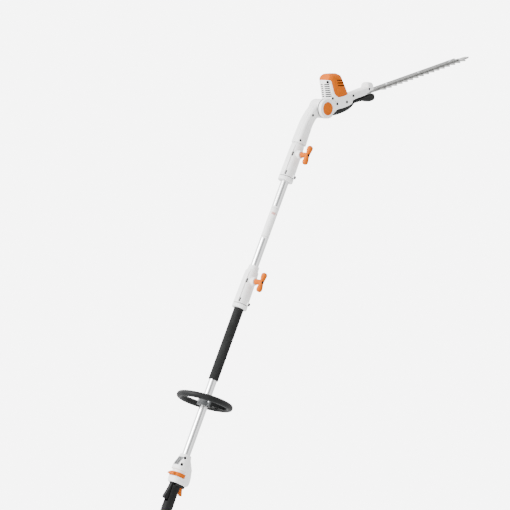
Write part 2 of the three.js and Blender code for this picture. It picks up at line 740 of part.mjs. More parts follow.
function barCap(group) {
  const sections = [
    [195.3, 8, 11, 19.5, 90],
    [201, 13, 16, 18, 90],
    [212, 14.5, 16, 16, 90],
    [224, 13, 14.5, 15, 90],
    [232, 6.5, 8.5, 13.8, 90],
  ];
  const body = loft(sections, { power: 3 });
  const barRoom = block([180, 260], [-10.8, 10.8], [-10, 5.6]);
  const bladeRoom = block([180, 260], [-30, 30], [-20, -1]);
  const hollow = loft(sections.slice(0, 4), { power: 3, inset: WALL });
  place(group, 'bar_cap', cut(body, barRoom, bladeRoom, hollow), whitePlastic);
}

function pivotPin(group) {
  const headY = DRUM_HALF + GAP;
  const shank = rod(5, [0, -25, 0], [0, headY + 1, 0], 20);
  place(group, 'pivot_pin', join(shank, rod(9, [0, headY, 0], [0, headY + 2.6, 0], 24)), steel);
}

function pivotButton(group) {
  const cap = join(
    rod(BUTTON_RADIUS, [0, -31.5, 0], [0, BUTTON_FACE + 2, 0], 28),
    rod(BUTTON_RADIUS, [0, BUTTON_FACE + 2, 0], [0, BUTTON_FACE, 0], 28, BUTTON_RADIUS - 3),
  );
  place(group, 'pivot_button', cut(cap, rod(15, [0, -34, 0], [0, -20, 0], 24)), orangePlastic);
}

function motorCan(group) {
  const profile = [[4, 16], [24, 16], [24, 80], [15.4, 80], [15.4, 19], [4, 19]];
  place(group, 'motor_can', turned(profile, MOTOR_AT), steel);
}

function gearOutline(teeth, phase, x) {
  const pitchRadius = (teeth * GEAR_MODULE) / 2;
  const points = [];
  for (let i = 0; i < teeth; i += 1) {
    for (const [along, lift] of [[-0.26, -1.15], [-0.1, 0.75], [0.1, 0.75], [0.26, -1.15]]) {
      const angle = ((i + along + phase) / teeth) * 2 * Math.PI;
      const radius = pitchRadius + lift * GEAR_MODULE;
      points.push([x + radius * Math.cos(angle), radius * Math.sin(angle)]);
    }
  }
  return points;
}

const GEAR_FACE = [1, 8];

function motorRotor(group) {
  const at = (z) => [MOTOR_AT, 0, z];
  const pinion = plan(gearOutline(PINION_TEETH, 0.5, MOTOR_AT), GEAR_FACE);
  const fan = [];
  for (let i = 0; i < 9; i += 1) {
    const angle = (i / 9) * 2 * Math.PI;
    const vane = new THREE.BoxGeometry(10, 1.4, 4.5);
    vane.translate(13.5, 0, 85.5);
    vane.rotateZ(angle);
    vane.translate(MOTOR_AT, 0, 0);
    fan.push(solid(vane));
  }
  const rotor = join(
    rod(2.5, at(0.5), at(86), 16),
    rod(15, at(28), at(72), 24),
    rod(19.5, at(82), at(84), 24),
    pinion,
    ...fan,
  );
  place(group, 'motor_rotor', rotor, steel);
}

function gearPlate(group) {
  const outline = [[42, -19], [107, -19], [120, -12], [120, 12], [107, 19], [42, 19]];
  const sheet = plan(outline, [10.2, 13.2]);
  const axle = rod(4, [CRANK_AT, 0, 12], [CRANK_AT, 0, -9], 20);
  const shaftHole = rod(7, [MOTOR_AT, 0, 0], [MOTOR_AT, 0, 20], 20);
  place(group, 'gear_plate', join(cut(sheet, shaftHole), axle), aluminium);
}

function crankGear(group) {
  const at = (y, z) => [CRANK_AT, y, z];
  const wheel = plan(gearOutline(CRANK_TEETH, 0, CRANK_AT), GEAR_FACE);
  const hub = rod(6.5, at(0, -6.6), at(0, 9.4), 24);
  const upper = rod(6, at(THROW, UPPER_BLADE - 0.1), at(THROW, 1.5), 24);
  const lower = rod(6, at(-THROW, -6.6), at(-THROW, UPPER_BLADE - 0.3), 24);
  const bore = rod(4 + GAP, at(0, -20), at(0, 20), 20);
  place(group, 'crank_gear', cut(join(wheel, hub, upper, lower), bore), steel);
}

// Half of a blade's outline, from its root to its tip, on the +Y side.
function bladeEdge() {
  const edge = [[62, 20.5], [112, 20.5], [123, 11], [240, 11], [252, BLADE_HALF]];
  for (let i = 0; i < TOOTH_COUNT; i += 1) {
    const centre = FIRST_TOOTH + i * TOOTH_PITCH;
    edge.push(
      [centre - 7.5, BLADE_HALF],
      [centre - 3, TOOTH_REACH],
      [centre + 3, TOOTH_REACH],
      [centre + 6.5, BLADE_HALF],
    );
  }
  edge.push([BLADE_TIP - 12, BLADE_HALF - 1], [BLADE_TIP, 7], [BLADE_TIP - 4, 3]);
  return edge;
}

// The straight slot that lets a blade slide past a fixed or turning piece.
function slideSlot(x, radius, travel) {
  const points = [];
  for (const [side, start] of [[1, -90], [-1, 90]]) {
    for (let i = 0; i <= 8; i += 1) {
      const angle = THREE.MathUtils.degToRad(start + (i * 180) / 8);
      points.push([x + side * travel + radius * Math.cos(angle), radius * Math.sin(angle)]);
    }
  }
  return plan(points, [-20, 20]);
}

function cuttingBlade(group, name, base) {
  const edge = bladeEdge();
  const mirrored = edge.map(([x, y]) => [x, -y]).reverse();
  const sheet = plan([...mirrored, ...edge], [base, base + BLADE_THICK]);
  const slots = BLADE_BOLTS.map((x) => slideSlot(x, 3.4, THROW + 0.3));
  place(group, name, cut(sheet, slideSlot(CRANK_AT, 15.2, THROW + 0.3), ...slots), blade);
}

function guideBar(group) {
  const top = 5;
  const profile = [
    [-10.3, BAR_BASE], [10.3, BAR_BASE], [10.3, top], [8.3, top],
    [7, 1.6], [-7, 1.6], [-8.3, top], [-10.3, top],
  ];
  const shape = new THREE.Shape(profile.map(([y, z]) => new THREE.Vector2(y, z)));
  const start = 130;
  const geometry = new THREE.ExtrudeGeometry(shape, { depth: BAR_END - start, bevelEnabled: false });
  geometry.rotateX(Math.PI / 2);
  geometry.rotateZ(Math.PI / 2);
  geometry.translate(start, 0, 0);
  const holes = BLADE_BOLTS.map((x) => rod(3.3, [x, 0, -20], [x, 0, 20], 14));
  const nose = plan([[640, -20], [660, -20], [660, 20], [640, 20], [652, 0]], [-5, 10]);
  place(group, 'guide_bar', cut(solid(geometry), ...holes, nose), steel);
}

function bladeBolts(group) {
  BLADE_BOLTS.forEach((x, i) => {
    const shank = rod(3, [x, 0, LOWER_BLADE - 1.5], [x, 0, 2.5], 14);
    const head = rod(5.5, [x, 0, 1.9], [x, 0, 4.6], 6);
    const washer = rod(6.5, [x, 0, LOWER_BLADE - 0.3], [x, 0, LOWER_BLADE - 1.8], 20);
    place(group, `blade_bolt_${i + 1}`, join(shank, head, washer), steel);
  });
}

// The whole tool

const part = new THREE.Group();
for (const make of [
  controlHousing, ventGrille, grip, triggerBezel, trigger, triggerSpring, lockoutLever, releaseSlide,
  powerSwitch, controlBoard, batteryBay, batteryTerminals, batteryPack, batteryLatch, rearTube,
  foamSleeve, ringHandle,
]) {
  make(part);
}
coupling(part, 'lower', LOWER_COUPLING);
coupling(part, 'upper', UPPER_COUPLING);
place(part, 'mid_tube', tube(LOWER_COUPLING + TUBE_ENTRY, UPPER_COUPLING + TUBE_STOP), aluminium);
place(part, 'head_tube', tube(UPPER_COUPLING + TUBE_ENTRY, 1256), aluminium);
connector(part, 'rear_socket', LOWER_COUPLING + TUBE_STOP - 22, LOWER_COUPLING + TUBE_STOP - 1);
connector(part, 'mid_plug', LOWER_COUPLING + TUBE_ENTRY + 1, LOWER_COUPLING + TUBE_ENTRY + 20);
innerCable(part, 'rear_cable', 110, LOWER_COUPLING + TUBE_STOP - 22 - GAP);
innerCable(part, 'mid_cable', LOWER_COUPLING + TUBE_ENTRY + 20 + GAP, UPPER_COUPLING + TUBE_STOP - 6);
neck(part);

const head = new THREE.Group();
head.position.set(PIVOT_X, 0, PIVOT_Z);
head.rotation.y = HEAD_TILT - Math.PI / 2;
for (const make of [
  motorHousing, bellyCover, bladeGuard, barCap, pivotPin, pivotButton, motorCan, motorRotor,
  gearPlate, crankGear, guideBar, bladeBolts,
]) {
  make(head);
}
cuttingBlade(head, 'upper_blade', UPPER_BLADE);
cuttingBlade(head, 'lower_blade', LOWER_BLADE);
part.add(head);

export default part;
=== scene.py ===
# Pole hedge trimmer: the visible surfaces, materials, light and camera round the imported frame.
# Shapes are written in millimetres, and each mesh is scaled to the frame's metres when it is made.
import json
import math

import bmesh
import bpy
from mathutils import Matrix, Vector


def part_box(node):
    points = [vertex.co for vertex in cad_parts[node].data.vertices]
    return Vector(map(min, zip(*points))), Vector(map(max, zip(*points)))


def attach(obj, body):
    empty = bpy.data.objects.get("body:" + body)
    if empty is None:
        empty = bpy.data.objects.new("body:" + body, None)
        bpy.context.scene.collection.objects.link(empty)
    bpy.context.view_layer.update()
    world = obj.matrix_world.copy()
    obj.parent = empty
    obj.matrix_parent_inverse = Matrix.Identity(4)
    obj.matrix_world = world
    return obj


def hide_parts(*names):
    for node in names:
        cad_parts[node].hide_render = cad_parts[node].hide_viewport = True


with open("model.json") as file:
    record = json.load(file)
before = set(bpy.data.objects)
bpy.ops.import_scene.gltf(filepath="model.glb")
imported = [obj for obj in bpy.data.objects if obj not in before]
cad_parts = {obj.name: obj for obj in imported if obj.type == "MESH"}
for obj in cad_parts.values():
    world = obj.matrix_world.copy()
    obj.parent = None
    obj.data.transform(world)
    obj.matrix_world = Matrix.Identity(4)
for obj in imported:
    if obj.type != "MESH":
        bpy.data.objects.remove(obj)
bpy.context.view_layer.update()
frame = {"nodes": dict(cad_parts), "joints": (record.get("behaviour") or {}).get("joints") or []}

# Sizes and places, in millimetres, most of them read from the frame

MM = 0.001
GAP = 0.3
WALL = 3.0
SIDES = 72
FAR = 2500  # past the whole tool
WIDE = 60  # past both sides of any shell


def box(node):
    low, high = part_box(node)
    return low / MM, high / MM


def middle(node):
    low, high = box(node)
    return (low + high) / 2


def heights(node):
    low, high = box(node)
    return low.z, high.z


JOINTS = {joint["name"]: joint for joint in frame["joints"]}
TUBE_RADIUS = box("rear_tube")[1].x
BORE = TUBE_RADIUS + GAP
GRIP_BOTTOM, GRIP_TOP = heights("grip_shell_right")
HOUSING_BOTTOM, HOUSING_TOP = heights("control_housing_right")
SLIDE_LOW, SLIDE_HIGH = heights("release_slide")
SLIDE_TRAVEL = JOINTS["unlock_push"]["range_m"][1] / MM
BAY_BOTTOM, BAY_TOP = heights("battery_bay")
BATTERY_BOTTOM, BATTERY_TOP = heights("battery_pack")
CLAMP_LOW, CLAMP_HIGH = heights("ring_clamp_cap")
RING_HEIGHT = middle("ring_clamp_cap").z
RING_CENTRE = middle("ring_handle")
RING_SECTION = 9.75
RING_RADIUS = (box("ring_handle")[1].y - box("ring_handle")[0].y) / 2 - RING_SECTION - 0.2
RING_LEAN = math.radians(-2.7)
COLLAR_TOP = 9.5
COLLAR_DROP = 4.5
COUPLINGS = {
    "lower": (box("lower_coupling_collar")[0].z + COLLAR_DROP, "rear_section", "lower_knob"),
    "upper": (box("upper_coupling_collar")[0].z + COLLAR_DROP, "mid_section", "upper_knob"),
}
COUPLING_LENGTH = box("lower_coupling_body")[1].z - COUPLINGS["lower"][0]
KNOB_HEIGHT = middle("lower_wing_knob").z - COUPLINGS["lower"][0]
KNOB_HUB = 32
KNOB_WING = 58
NECK_LOW = box("neck_shell_right")[0].z
PIVOT = Vector(JOINTS["head_tilt"]["pos_m"]) / MM
DRUM_RADIUS = 30
DRUM_HALF = 21.5
TRIGGER_PIN = tuple(JOINTS["trigger_pull"]["pos_m"][i] / MM for i in (0, 2))
LOCKOUT_PIN = tuple(JOINTS["lockout_press"]["pos_m"][i] / MM for i in (0, 2))

ALONG_BLADE = Vector(JOINTS["upper_blade_stroke"]["axis"])
TO_MOTOR = Vector(JOINTS["crank_turn"]["axis"])
HEAD_TURN = Matrix((ALONG_BLADE, (0, 1, 0), TO_MOTOR)).transposed().to_4x4()
HEAD = Matrix.Translation(PIVOT * MM) @ HEAD_TURN
ROW = Matrix.Identity(4)

# Solids. Every helper returns a closed mesh object.


def new_object(points, faces):
    mesh = bpy.data.meshes.new("shape")
    mesh.from_pydata([[value * MM for value in point] for point in points], [], faces)
    edit = bmesh.new()
    edit.from_mesh(mesh)
    bmesh.ops.remove_doubles(edit, verts=edit.verts, dist=1e-7)
    bmesh.ops.recalc_face_normals(edit, faces=edit.faces)
    edit.to_mesh(mesh)
    edit.free()
    obj = bpy.data.objects.new("shape", mesh)
    bpy.context.scene.collection.objects.link(obj)
    return obj


def skin(rings, closed=False):
    """A skin over equal rings of points, with flat ends, or joined end to end if closed."""
    count = len(rings[0])
    points = [point for ring in rings for point in ring]
    faces = []
    for ring in range(len(rings) if closed else len(rings) - 1):
        here = ring * count
        there = ((ring + 1) % len(rings)) * count
        for i in range(count):
            j = (i + 1) % count
            faces.append((here + i, here + j, there + j, there + i))
    if not closed:
        faces.append(tuple(range(count)))
        faces.append(tuple(range(len(points) - count, len(points))))
    return new_object(points, faces)


def extrude(outline, low, high, axis):
    """axis y takes [x, z] points, axis z takes [x, y] points and axis x takes [y, z] points."""
    at = "xyz".index(axis)
    return skin([[(*point[:at], t, *point[at:]) for point in outline] for t in (low, high)])


def profile_cutter(outline):
    """A cutter with this [x, z] outline, right through from side to side."""
    return extrude(outline, -WIDE, WIDE, "y")


def block(x, y, z):
    return extrude([(x[0], y[0]), (x[1], y[0]), (x[1], y[1]), (x[0], y[1])], z[0], z[1], "z")


def rod(radius, start, end, end_radius=None, sides=SIDES):
    """A cylinder or cone between two points."""
    start, end = Vector(start), Vector(end)
    turn = (end - start).to_track_quat("Z", "Y")
    rings = []
    for centre, size in ((start, radius), (end, radius if end_radius is None else end_radius)):
        angles = [2 * math.pi * i / sides for i in range(sides)]
        rings.append([centre + turn @ Vector((size * math.cos(a), size * math.sin(a), 0)) for a in angles])
    return skin(rings)


def upright(radius, x, low, high, end_radius=None, sides=SIDES):
    """An upright rod in the middle plane."""
    return rod(radius, (x, 0, low), (x, 0, high), end_radius, sides)


def cross_rod(radius, half, x, z, sides=20):
    """A rod from side to side."""
    return rod(radius, (x, -half, z), (x, half, z), sides=sides)


def lathe(profile, sides=96, centre=(0, 0, 0), turn=None):
    """A closed profile of (radius, height) points turned round an upright line."""
    rings = []
    for i in range(sides):
        a = 2 * math.pi * i / sides
        rings.append([Vector((r * math.cos(a), r * math.sin(a), z)) for r, z in profile])
    if turn is not None:
        rings = [[turn @ point for point in ring] for ring in rings]
    offset = Vector(centre)
    return skin([[point + offset for point in ring] for ring in rings], closed=True)


def smooth_between(values, t):
    """A Catmull-Rom curve through equally spaced rows of numbers."""
    last = len(values) - 1
    i = min(int(t), last - 1)
    u = t - i
    p0, p1, p2, p3 = (values[max(0, min(last, i + k))] for k in (-1, 0, 1, 2))
    return [
        b + 0.5 * u * (c - a + u * (2 * a - 5 * b + 4 * c - d + u * (3 * (b - c) + d - a)))
        for a, b, c, d in zip(p0, p1, p2, p3)
    ]


def oval(section, power, inset, sides=SIDES):
    """One rounded section: x, z, half length, half width, lean in degrees, and y."""
    x, z, half_long, half_wide, lean, y = section
    lean = math.radians(lean)
    ring = []
    for i in range(sides):
        a = 2 * math.pi * i / sides
        c, s = math.cos(a), math.sin(a)
        u = math.copysign(abs(c) ** (2 / power), c) * (half_long - inset)
        v = math.copysign(abs(s) ** (2 / power), s) * (half_wide - inset)
        ring.append((x + u * math.cos(lean), y + v, z - u * math.sin(lean)))
    return ring


def padded_out(sections):
    """The sections with their missing lean and y set to 0."""
    return [list(section) + [0] * (6 - len(section)) for section in sections]


def loft(sections, power=2.6, inset=0.0, steps=6, sides=SIDES):
    full = padded_out(sections)
    count = (len(full) - 1) * steps
    rows = [smooth_between(full, i / steps) for i in range(count)] + [full[-1]]
    return skin([oval(row, power, inset, sides) for row in rows])


def boolean(target, tools, operation):
    for tool in tools:
        step = target.modifiers.new("boolean", "BOOLEAN")
        step.operation = operation
        step.solver = "MANIFOLD"
        step.object = tool
    settle(target)
    for tool in tools:
        bpy.data.objects.remove(tool)
    return target


def join(first, *others):
    return boolean(first, others, "UNION")


def cut(first, *others):
    return boolean(first, others, "DIFFERENCE")


def overlap(first, *others):
    return boolean(first, others, "INTERSECT")


def copy(obj):
    twin = obj.copy()
    twin.data = obj.data.copy()
    bpy.context.scene.collection.objects.link(twin)
    return twin


def settle(obj):
    """Turns the object's modifiers into plain mesh."""
    graph = bpy.context.evaluated_depsgraph_get()
    mesh = bpy.data.meshes.new_from_object(obj.evaluated_get(graph))
    obj.modifiers.clear()
    obj.data = mesh
    return obj


def mould(obj, voxel, rounds=4):
    """Rounds every edge, as on a moulded part."""
    remesh = obj.modifiers.new("remesh", "REMESH")
    remesh.mode = "VOXEL"
    remesh.voxel_size = voxel * MM
    relax = obj.modifiers.new("relax", "SMOOTH")
    relax.factor = 0.5
    relax.iterations = rounds
    return settle(obj)


def bevel(obj, width=0.5, segments=3, angle=32):
    edge = obj.modifiers.new("bevel", "BEVEL")
    edge.width = width * MM
    edge.segments = segments
    edge.limit_method = "ANGLE"
    edge.angle_limit = math.radians(angle)
    return settle(obj)


def seam_tongue(shell):
    """A thin tongue inside a shell's walls along its middle, so that the seam is no open slit."""
    tongue = mould(copy(shell), 0.8, 1)
    sink = tongue.modifiers.new("sink", "DISPLACE")
    sink.mid_level = 0
    sink.strength = -0.7 * MM
    return overlap(settle(tongue), block((-FAR, FAR), (-1.2, 1.2), (-FAR, FAR)))


def halves(obj):
    """The right and left halves of a shell, parted at the middle. The left half carries the tongue."""
    left = copy(obj)
    tongue = seam_tongue(obj)
    overlap(obj, block((-FAR, FAR), (-FAR, -GAP / 2), (-FAR, FAR)))
    overlap(left, block((-FAR, FAR), (GAP / 2, FAR), (-FAR, FAR)))
    return obj, join(left, tongue)


def piece(obj, name, body, surface, nodes=(), place=ROW, sharp=40):
    """Names a finished shape, gives it its surface and its material slot, and sets it in the frame."""
    obj.name = name
    obj.data.name = name
    obj.data.transform(place)
    obj.data.materials.clear()
    obj.data.materials.append(surface)
    obj.data.shade_smooth()
    obj.data.set_sharp_from_angle(angle=math.radians(sharp))
    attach(obj, body)
    if nodes:
        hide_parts(*nodes)
    return obj


def shell_pair(shell, node, ending, body, surface, voxel, rounds, place=ROW):
    """A shell's two halves as moulded pieces that replace the nodes of their sides."""
    for side, shape in zip(("right", "left"), halves(shell)):
        name = f"{node}_{side}"
        piece(mould(shape, voxel, rounds), f"{name}_{ending}", body, surface, [name], place)


# Materials


def feed(tree, socket, value):
    """Links the socket to a value that comes from another socket, or sets it to a constant."""
    if isinstance(value, bpy.types.NodeSocket):
        tree.links.new(value, socket)
    else:
        socket.default_value = value


def add(tree, kind, inputs=None, **settings):
    made = tree.nodes.new(kind)
    for name, value in settings.items():
        setattr(made, name, value)
    for name, value in (inputs or {}).items():
        feed(tree, made.inputs[name], value)
    return made


def calc(tree, operation, *values):
    return add(tree, "ShaderNodeMath", dict(enumerate(values)), operation=operation).outputs[0]


def blend_colours(tree, amount, first, second):
    inputs = {0: amount, 6: first, 7: second}
    return add(tree, "ShaderNodeMix", inputs, data_type="RGBA").outputs[2]


def ramp(tree, value, low, high, out_low=0.0, out_high=1.0):
    limits = {"Value": value, "From Min": low, "From Max": high, "To Min": out_low, "To Max": out_high}
    return add(tree, "ShaderNodeMapRange", limits).outputs["Result"]


def start_material(name):
    """A new material, its node tree, its main shader and coordinates in metres."""
    surface = bpy.data.materials.new(name)
    surface.use_nodes = True
    tree = surface.node_tree
    return surface, tree, tree.nodes["Principled BSDF"], add(tree, "ShaderNodeTexCoord").outputs["Object"]


def noise(tree, where, scale, detail=2.0, roughness=0.5):
    inputs = {"Vector": where, "Scale": scale, "Detail": detail, "Roughness": roughness}
    return add(tree, "ShaderNodeTexNoise", inputs).outputs["Fac"]


def finish_surface(tree, shader, colour, roughness, gloss, height, strength, depth):
    """Sets the shader's colour, its roughness (a number or a socket) and its bump."""
    tree.links.new(colour, shader.inputs["Base Color"])
    feed(tree, shader.inputs["Roughness"], roughness)
    shader.inputs["Specular IOR Level"].default_value = gloss
    bump = add(tree, "ShaderNodeBump", {"Height": height, "Strength": strength, "Distance": depth})
    tree.links.new(bump.outputs["Normal"], shader.inputs["Normal"])


def plastic(name, dark, light, roughness, grain=1500, depth=0.00003, scuff=0.25, gloss=0.5):
    """Moulded plastic: a fine spark-eroded grain, faint uneven colour and edges rubbed lighter."""
    surface, tree, shader, where = start_material(name)
    cloud = ramp(tree, noise(tree, where, 28, 4), 0.35, 0.65)
    base = blend_colours(tree, cloud, (*dark, 1), (*light, 1))
    point = add(tree, "ShaderNodeNewGeometry").outputs["Pointiness"]
    rubbed = ramp(tree, point, 0.52, 0.6, 0.0, scuff)
    paler = tuple(min(1.0, value * 1.25 + 0.02) for value in light)
    shade = blend_colours(tree, rubbed, base, (*paler, 1))
    fine = noise(tree, where, grain, 3, 0.6)
    smear = noise(tree, where, 60, 3)
    sheen = ramp(tree, smear, 0.3, 0.7, roughness * 0.9, roughness * 1.12)
    finish_surface(tree, shader, shade, sheen, gloss, fine, 0.5, depth)
    return surface


def metal(name, dark, light, roughness, stretch=(1, 1, 1), turn=0.0, scale=900, depth=0.000012):
    """Drawn, ground or plated metal: streaks along one line, with a soft patchy sheen."""
    surface, tree, shader, where = start_material(name)
    placing = {"Vector": where, "Rotation": (0, turn, 0), "Scale": tuple(1 / s for s in stretch)}
    spread = add(tree, "ShaderNodeMapping", placing, vector_type="TEXTURE").outputs["Vector"]
    streak = noise(tree, spread, scale, 4, 0.65)
    patch = noise(tree, where, 22, 3)
    tone = blend_colours(tree, ramp(tree, streak, 0.3, 0.7), (*dark, 1), (*light, 1))
    dull = tuple(value * 0.9 for value in dark)
    shade = blend_colours(tree, ramp(tree, patch, 0.5, 0.75, 0.0, 0.35), tone, (*dull, 1))
    sheen = ramp(tree, streak, 0.3, 0.7, roughness * 0.8, roughness * 1.25)
    shader.inputs["Metallic"].default_value = 1.0
    finish_surface(tree, shader, shade, sheen, 0.5, streak, 0.35, depth)
    return surface


def foam_material():
    """Closed-cell foam: small open cells over a softly uneven matt surface."""
    surface, tree, shader, where = start_material("foam_grip")
    cells = add(tree, "ShaderNodeTexVoronoi", {"Vector": where, "Scale": 900.0}).outputs["Distance"]
    swell = noise(tree, where, 45, 3)
    pores = ramp(tree, cells, 0.15, 0.6)
    uneven = ramp(tree, swell, 0.35, 0.65)
    lit = blend_colours(tree, uneven, (0.010, 0.0105, 0.0102, 1), (0.017, 0.0178, 0.0174, 1))
    shade = blend_colours(tree, pores, (0.005, 0.0052, 0.005, 1), lit)
    finish_surface(tree, shader, shade, 0.92, 0.2, calc(tree, "ADD", pores, swell), 0.7, 0.00025)
    return surface


TREAD_TURNS = 1500.0  # radians a metre, for pads about 4 mm apart


def grip_material():
    """Soft overmould: a diamond tread of small raised pads."""
    surface, tree, shader, where = start_material("soft_grip")
    parts = add(tree, "ShaderNodeSeparateXYZ", {0: where}).outputs
    waves = []
    for sign in (1.0, -1.0):
        slant = calc(tree, "MULTIPLY_ADD", parts["Y"], sign, parts["Z"])
        waves.append(calc(tree, "SINE", calc(tree, "MULTIPLY", slant, TREAD_TURNS)))
    tread = calc(tree, "MULTIPLY", *waves)
    fine = noise(tree, where, 2200, 2)
    cloud = ramp(tree, noise(tree, where, 30, 3), 0.35, 0.65)
    shade = blend_colours(tree, cloud, (0.005, 0.0053, 0.0053, 1), (0.009, 0.0094, 0.0094, 1))
    sheen = ramp(tree, fine, 0.3, 0.7, 0.55, 0.75)
    height = calc(tree, "MULTIPLY_ADD", tread, 0.8, fine)
    finish_surface(tree, shader, shade, sheen, 0.14, height, 0.5, 0.0002)
    return surface


def board_material():
    """A circuit board: solder mask over darker tracks, with pale pads."""
    surface, tree, shader, where = start_material("circuit_board")
    tracks = add(tree, "ShaderNodeTexBrick", {"Vector": where, "Scale": 260.0, "Mortar Size": 0.03})
    pads = add(tree, "ShaderNodeTexVoronoi", {"Vector": where, "Scale": 420.0}).outputs["Distance"]
    green = blend_colours(tree, tracks.outputs["Fac"], (0.012, 0.10, 0.045, 1), (0.02, 0.17, 0.07, 1))
    shade = blend_colours(tree, ramp(tree, pads, 0.10, 0.06), green, (0.6, 0.6, 0.55, 1))
    finish_surface(tree, shader, shade, 0.35, 0.5, tracks.outputs["Fac"], 0.3, 0.0001)
    return surface


def label_material(centre_z):
    """A satin paper label with a plain warning patch and two fine printed lines."""
    surface, tree, shader, where = start_material("shaft_label")
    parts = add(tree, "ShaderNodeSeparateXYZ", {0: where}).outputs
    centre = centre_z * MM

    def band(value, low, high):
        above = calc(tree, "GREATER_THAN", value, low)
        return calc(tree, "MULTIPLY", above, calc(tree, "LESS_THAN", value, high))

    tall = band(parts["Z"], centre + 0.026, centre + 0.034)
    patch = calc(tree, "MULTIPLY", tall, band(parts["Y"], -0.0126, -0.004))
    fibre = noise(tree, where, 500, 4)
    paper = blend_colours(tree, ramp(tree, fibre, 0.3, 0.7), (0.80, 0.80, 0.79, 1), (0.86, 0.86, 0.85, 1))
    shade = blend_colours(tree, patch, paper, (0.62, 0.34, 0.31, 1))
    for line in (centre - 0.048, centre + 0.048):
        printed = band(parts["Z"], line - 0.0005, line + 0.0005)
        shade = blend_colours(tree, printed, shade, (0.35, 0.35, 0.35, 1))
    sheen = ramp(tree, fibre, 0.3, 0.7, 0.35, 0.5)
    finish_surface(tree, shader, shade, sheen, 0.5, fibre, 0.15, 0.00003)
    return surface


BLADE_TURN = math.atan2(-ALONG_BLADE.z, ALONG_BLADE.x)
WHITE = plastic("white_housing", (0.83, 0.83, 0.825), (0.88, 0.88, 0.875), 0.42, scuff=0.1, gloss=0.4)
ORANGE = plastic("orange_plastic", (0.47, 0.092, 0.0), (0.53, 0.106, 0.0), 0.5, scuff=0.02, gloss=0.05)
BLACK = plastic(
    "black_plastic", (0.006, 0.0065, 0.0065), (0.011, 0.0115, 0.0115), 0.5,
    grain=1100, depth=0.00006, scuff=0.12, gloss=0.14,
)
GREY = plastic("grey_plastic", (0.050, 0.053, 0.055), (0.075, 0.079, 0.082), 0.55, gloss=0.3)
GRILLE = plastic("grille_plastic", (0.11, 0.113, 0.116), (0.18, 0.183, 0.187), 0.55, gloss=0.3)
SOFT = grip_material()
FOAM = foam_material()
TUBE_TONES = (0.74, 0.745, 0.75), (0.82, 0.825, 0.83)
TUBE = metal("tube_aluminium", *TUBE_TONES, 0.2, (1, 1, 0.01), 0, 900, 0.000003)
CAST = metal("cast_aluminium", (0.45, 0.46, 0.47), (0.62, 0.63, 0.64), 0.5, scale=700, depth=0.00004)
STEEL = metal("zinc_steel", (0.42, 0.43, 0.45), (0.6, 0.61, 0.63), 0.34, scale=500)
DARK_STEEL = metal("dark_screw_steel", (0.012, 0.012, 0.013), (0.03, 0.03, 0.032), 0.45, scale=500)
BLADE = metal(
    "blade_steel", (0.22, 0.22, 0.215), (0.36, 0.36, 0.35), 0.34, (1, 0.02, 1), BLADE_TURN, 1200, 0.00002,
)
BAR = metal("bar_steel", (0.26, 0.26, 0.255), (0.40, 0.40, 0.39), 0.34, (0.02, 1, 1), BLADE_TURN, 1200)
BOARD = board_material()


# Screws


def screw_solid(at, away, head=3.6, height=1.8, shank=1.5, depth=5.0):
    """A pan-head screw with a six-lobed recess. at is under the head, away points out of it."""
    away = Vector(away).normalized()
    at = Vector(at)
    dome = [(1.0, 0.0), (1.0, 0.35), (0.93, 0.62), (0.75, 0.85), (0.5, 0.96), (0.001, 1.0)]
    profile = [(0.001, -depth), (shank, -depth), (shank, 0.0)] + [(r * head, h * height) for r, h in dome]
    turn = away.to_track_quat("Z", "Y")
    body = lathe(profile, 36, at, turn)
    top = at + away * height
    sunk = top - away * min(1.2, height * 0.6)
    reach = turn @ Vector((0, head * 0.28, 0))
    star = [rod(head * 0.3, sunk, top + away, sides=18)]
    for i in range(6):
        side = Matrix.Rotation(i * math.pi / 3, 3, away) @ reach
        star.append(rod(head * 0.13, sunk + side, top + away + side, sides=10))
    return cut(body, join(*star))


def well(at, away, radius, length=40):
    """The hole that a screw's head sits in, from its seat outwards."""
    away = Vector(away).normalized()
    start = Vector(at) - away * 0.4
    return rod(radius, start, start + away * length, sides=32)


RIGHT = (0, -1, 0)

# Control housing

HOUSING = [
    (4, HOUSING_BOTTOM, 28, 21),
    (7, 76, 33, 24.5),
    (6.5, 96, 33.5, 25),
    (2.6, 124, 29.3, 23.5),
    (0.3, 147, 18.2, 18.2),
    (0, HOUSING_TOP, 15.5, 15.5),
]
GROOVE_LOW = SLIDE_LOW - 1
GROOVE_HIGH = SLIDE_HIGH + SLIDE_TRAVEL + 1
HOUSING_SCREWS = [(-12.5, -13.4, 149), (-18.5, -16.2, 126)]


def slide_loft(low, high, grow):
    return loft([(6.5, low, 30 + grow, 21.5 + grow), (6.5, high, 30 + grow, 21.5 + grow)], steps=1)


def collar_band(low, high, inner, outer):
    """A band round the housing's back half, open to the front."""
    band = cut(slide_loft(low, high, outer), slide_loft(low - 1, high + 1, inner))
    return cut(band, block((3, 100), (-WIDE, WIDE), (low - 2, high + 2)))


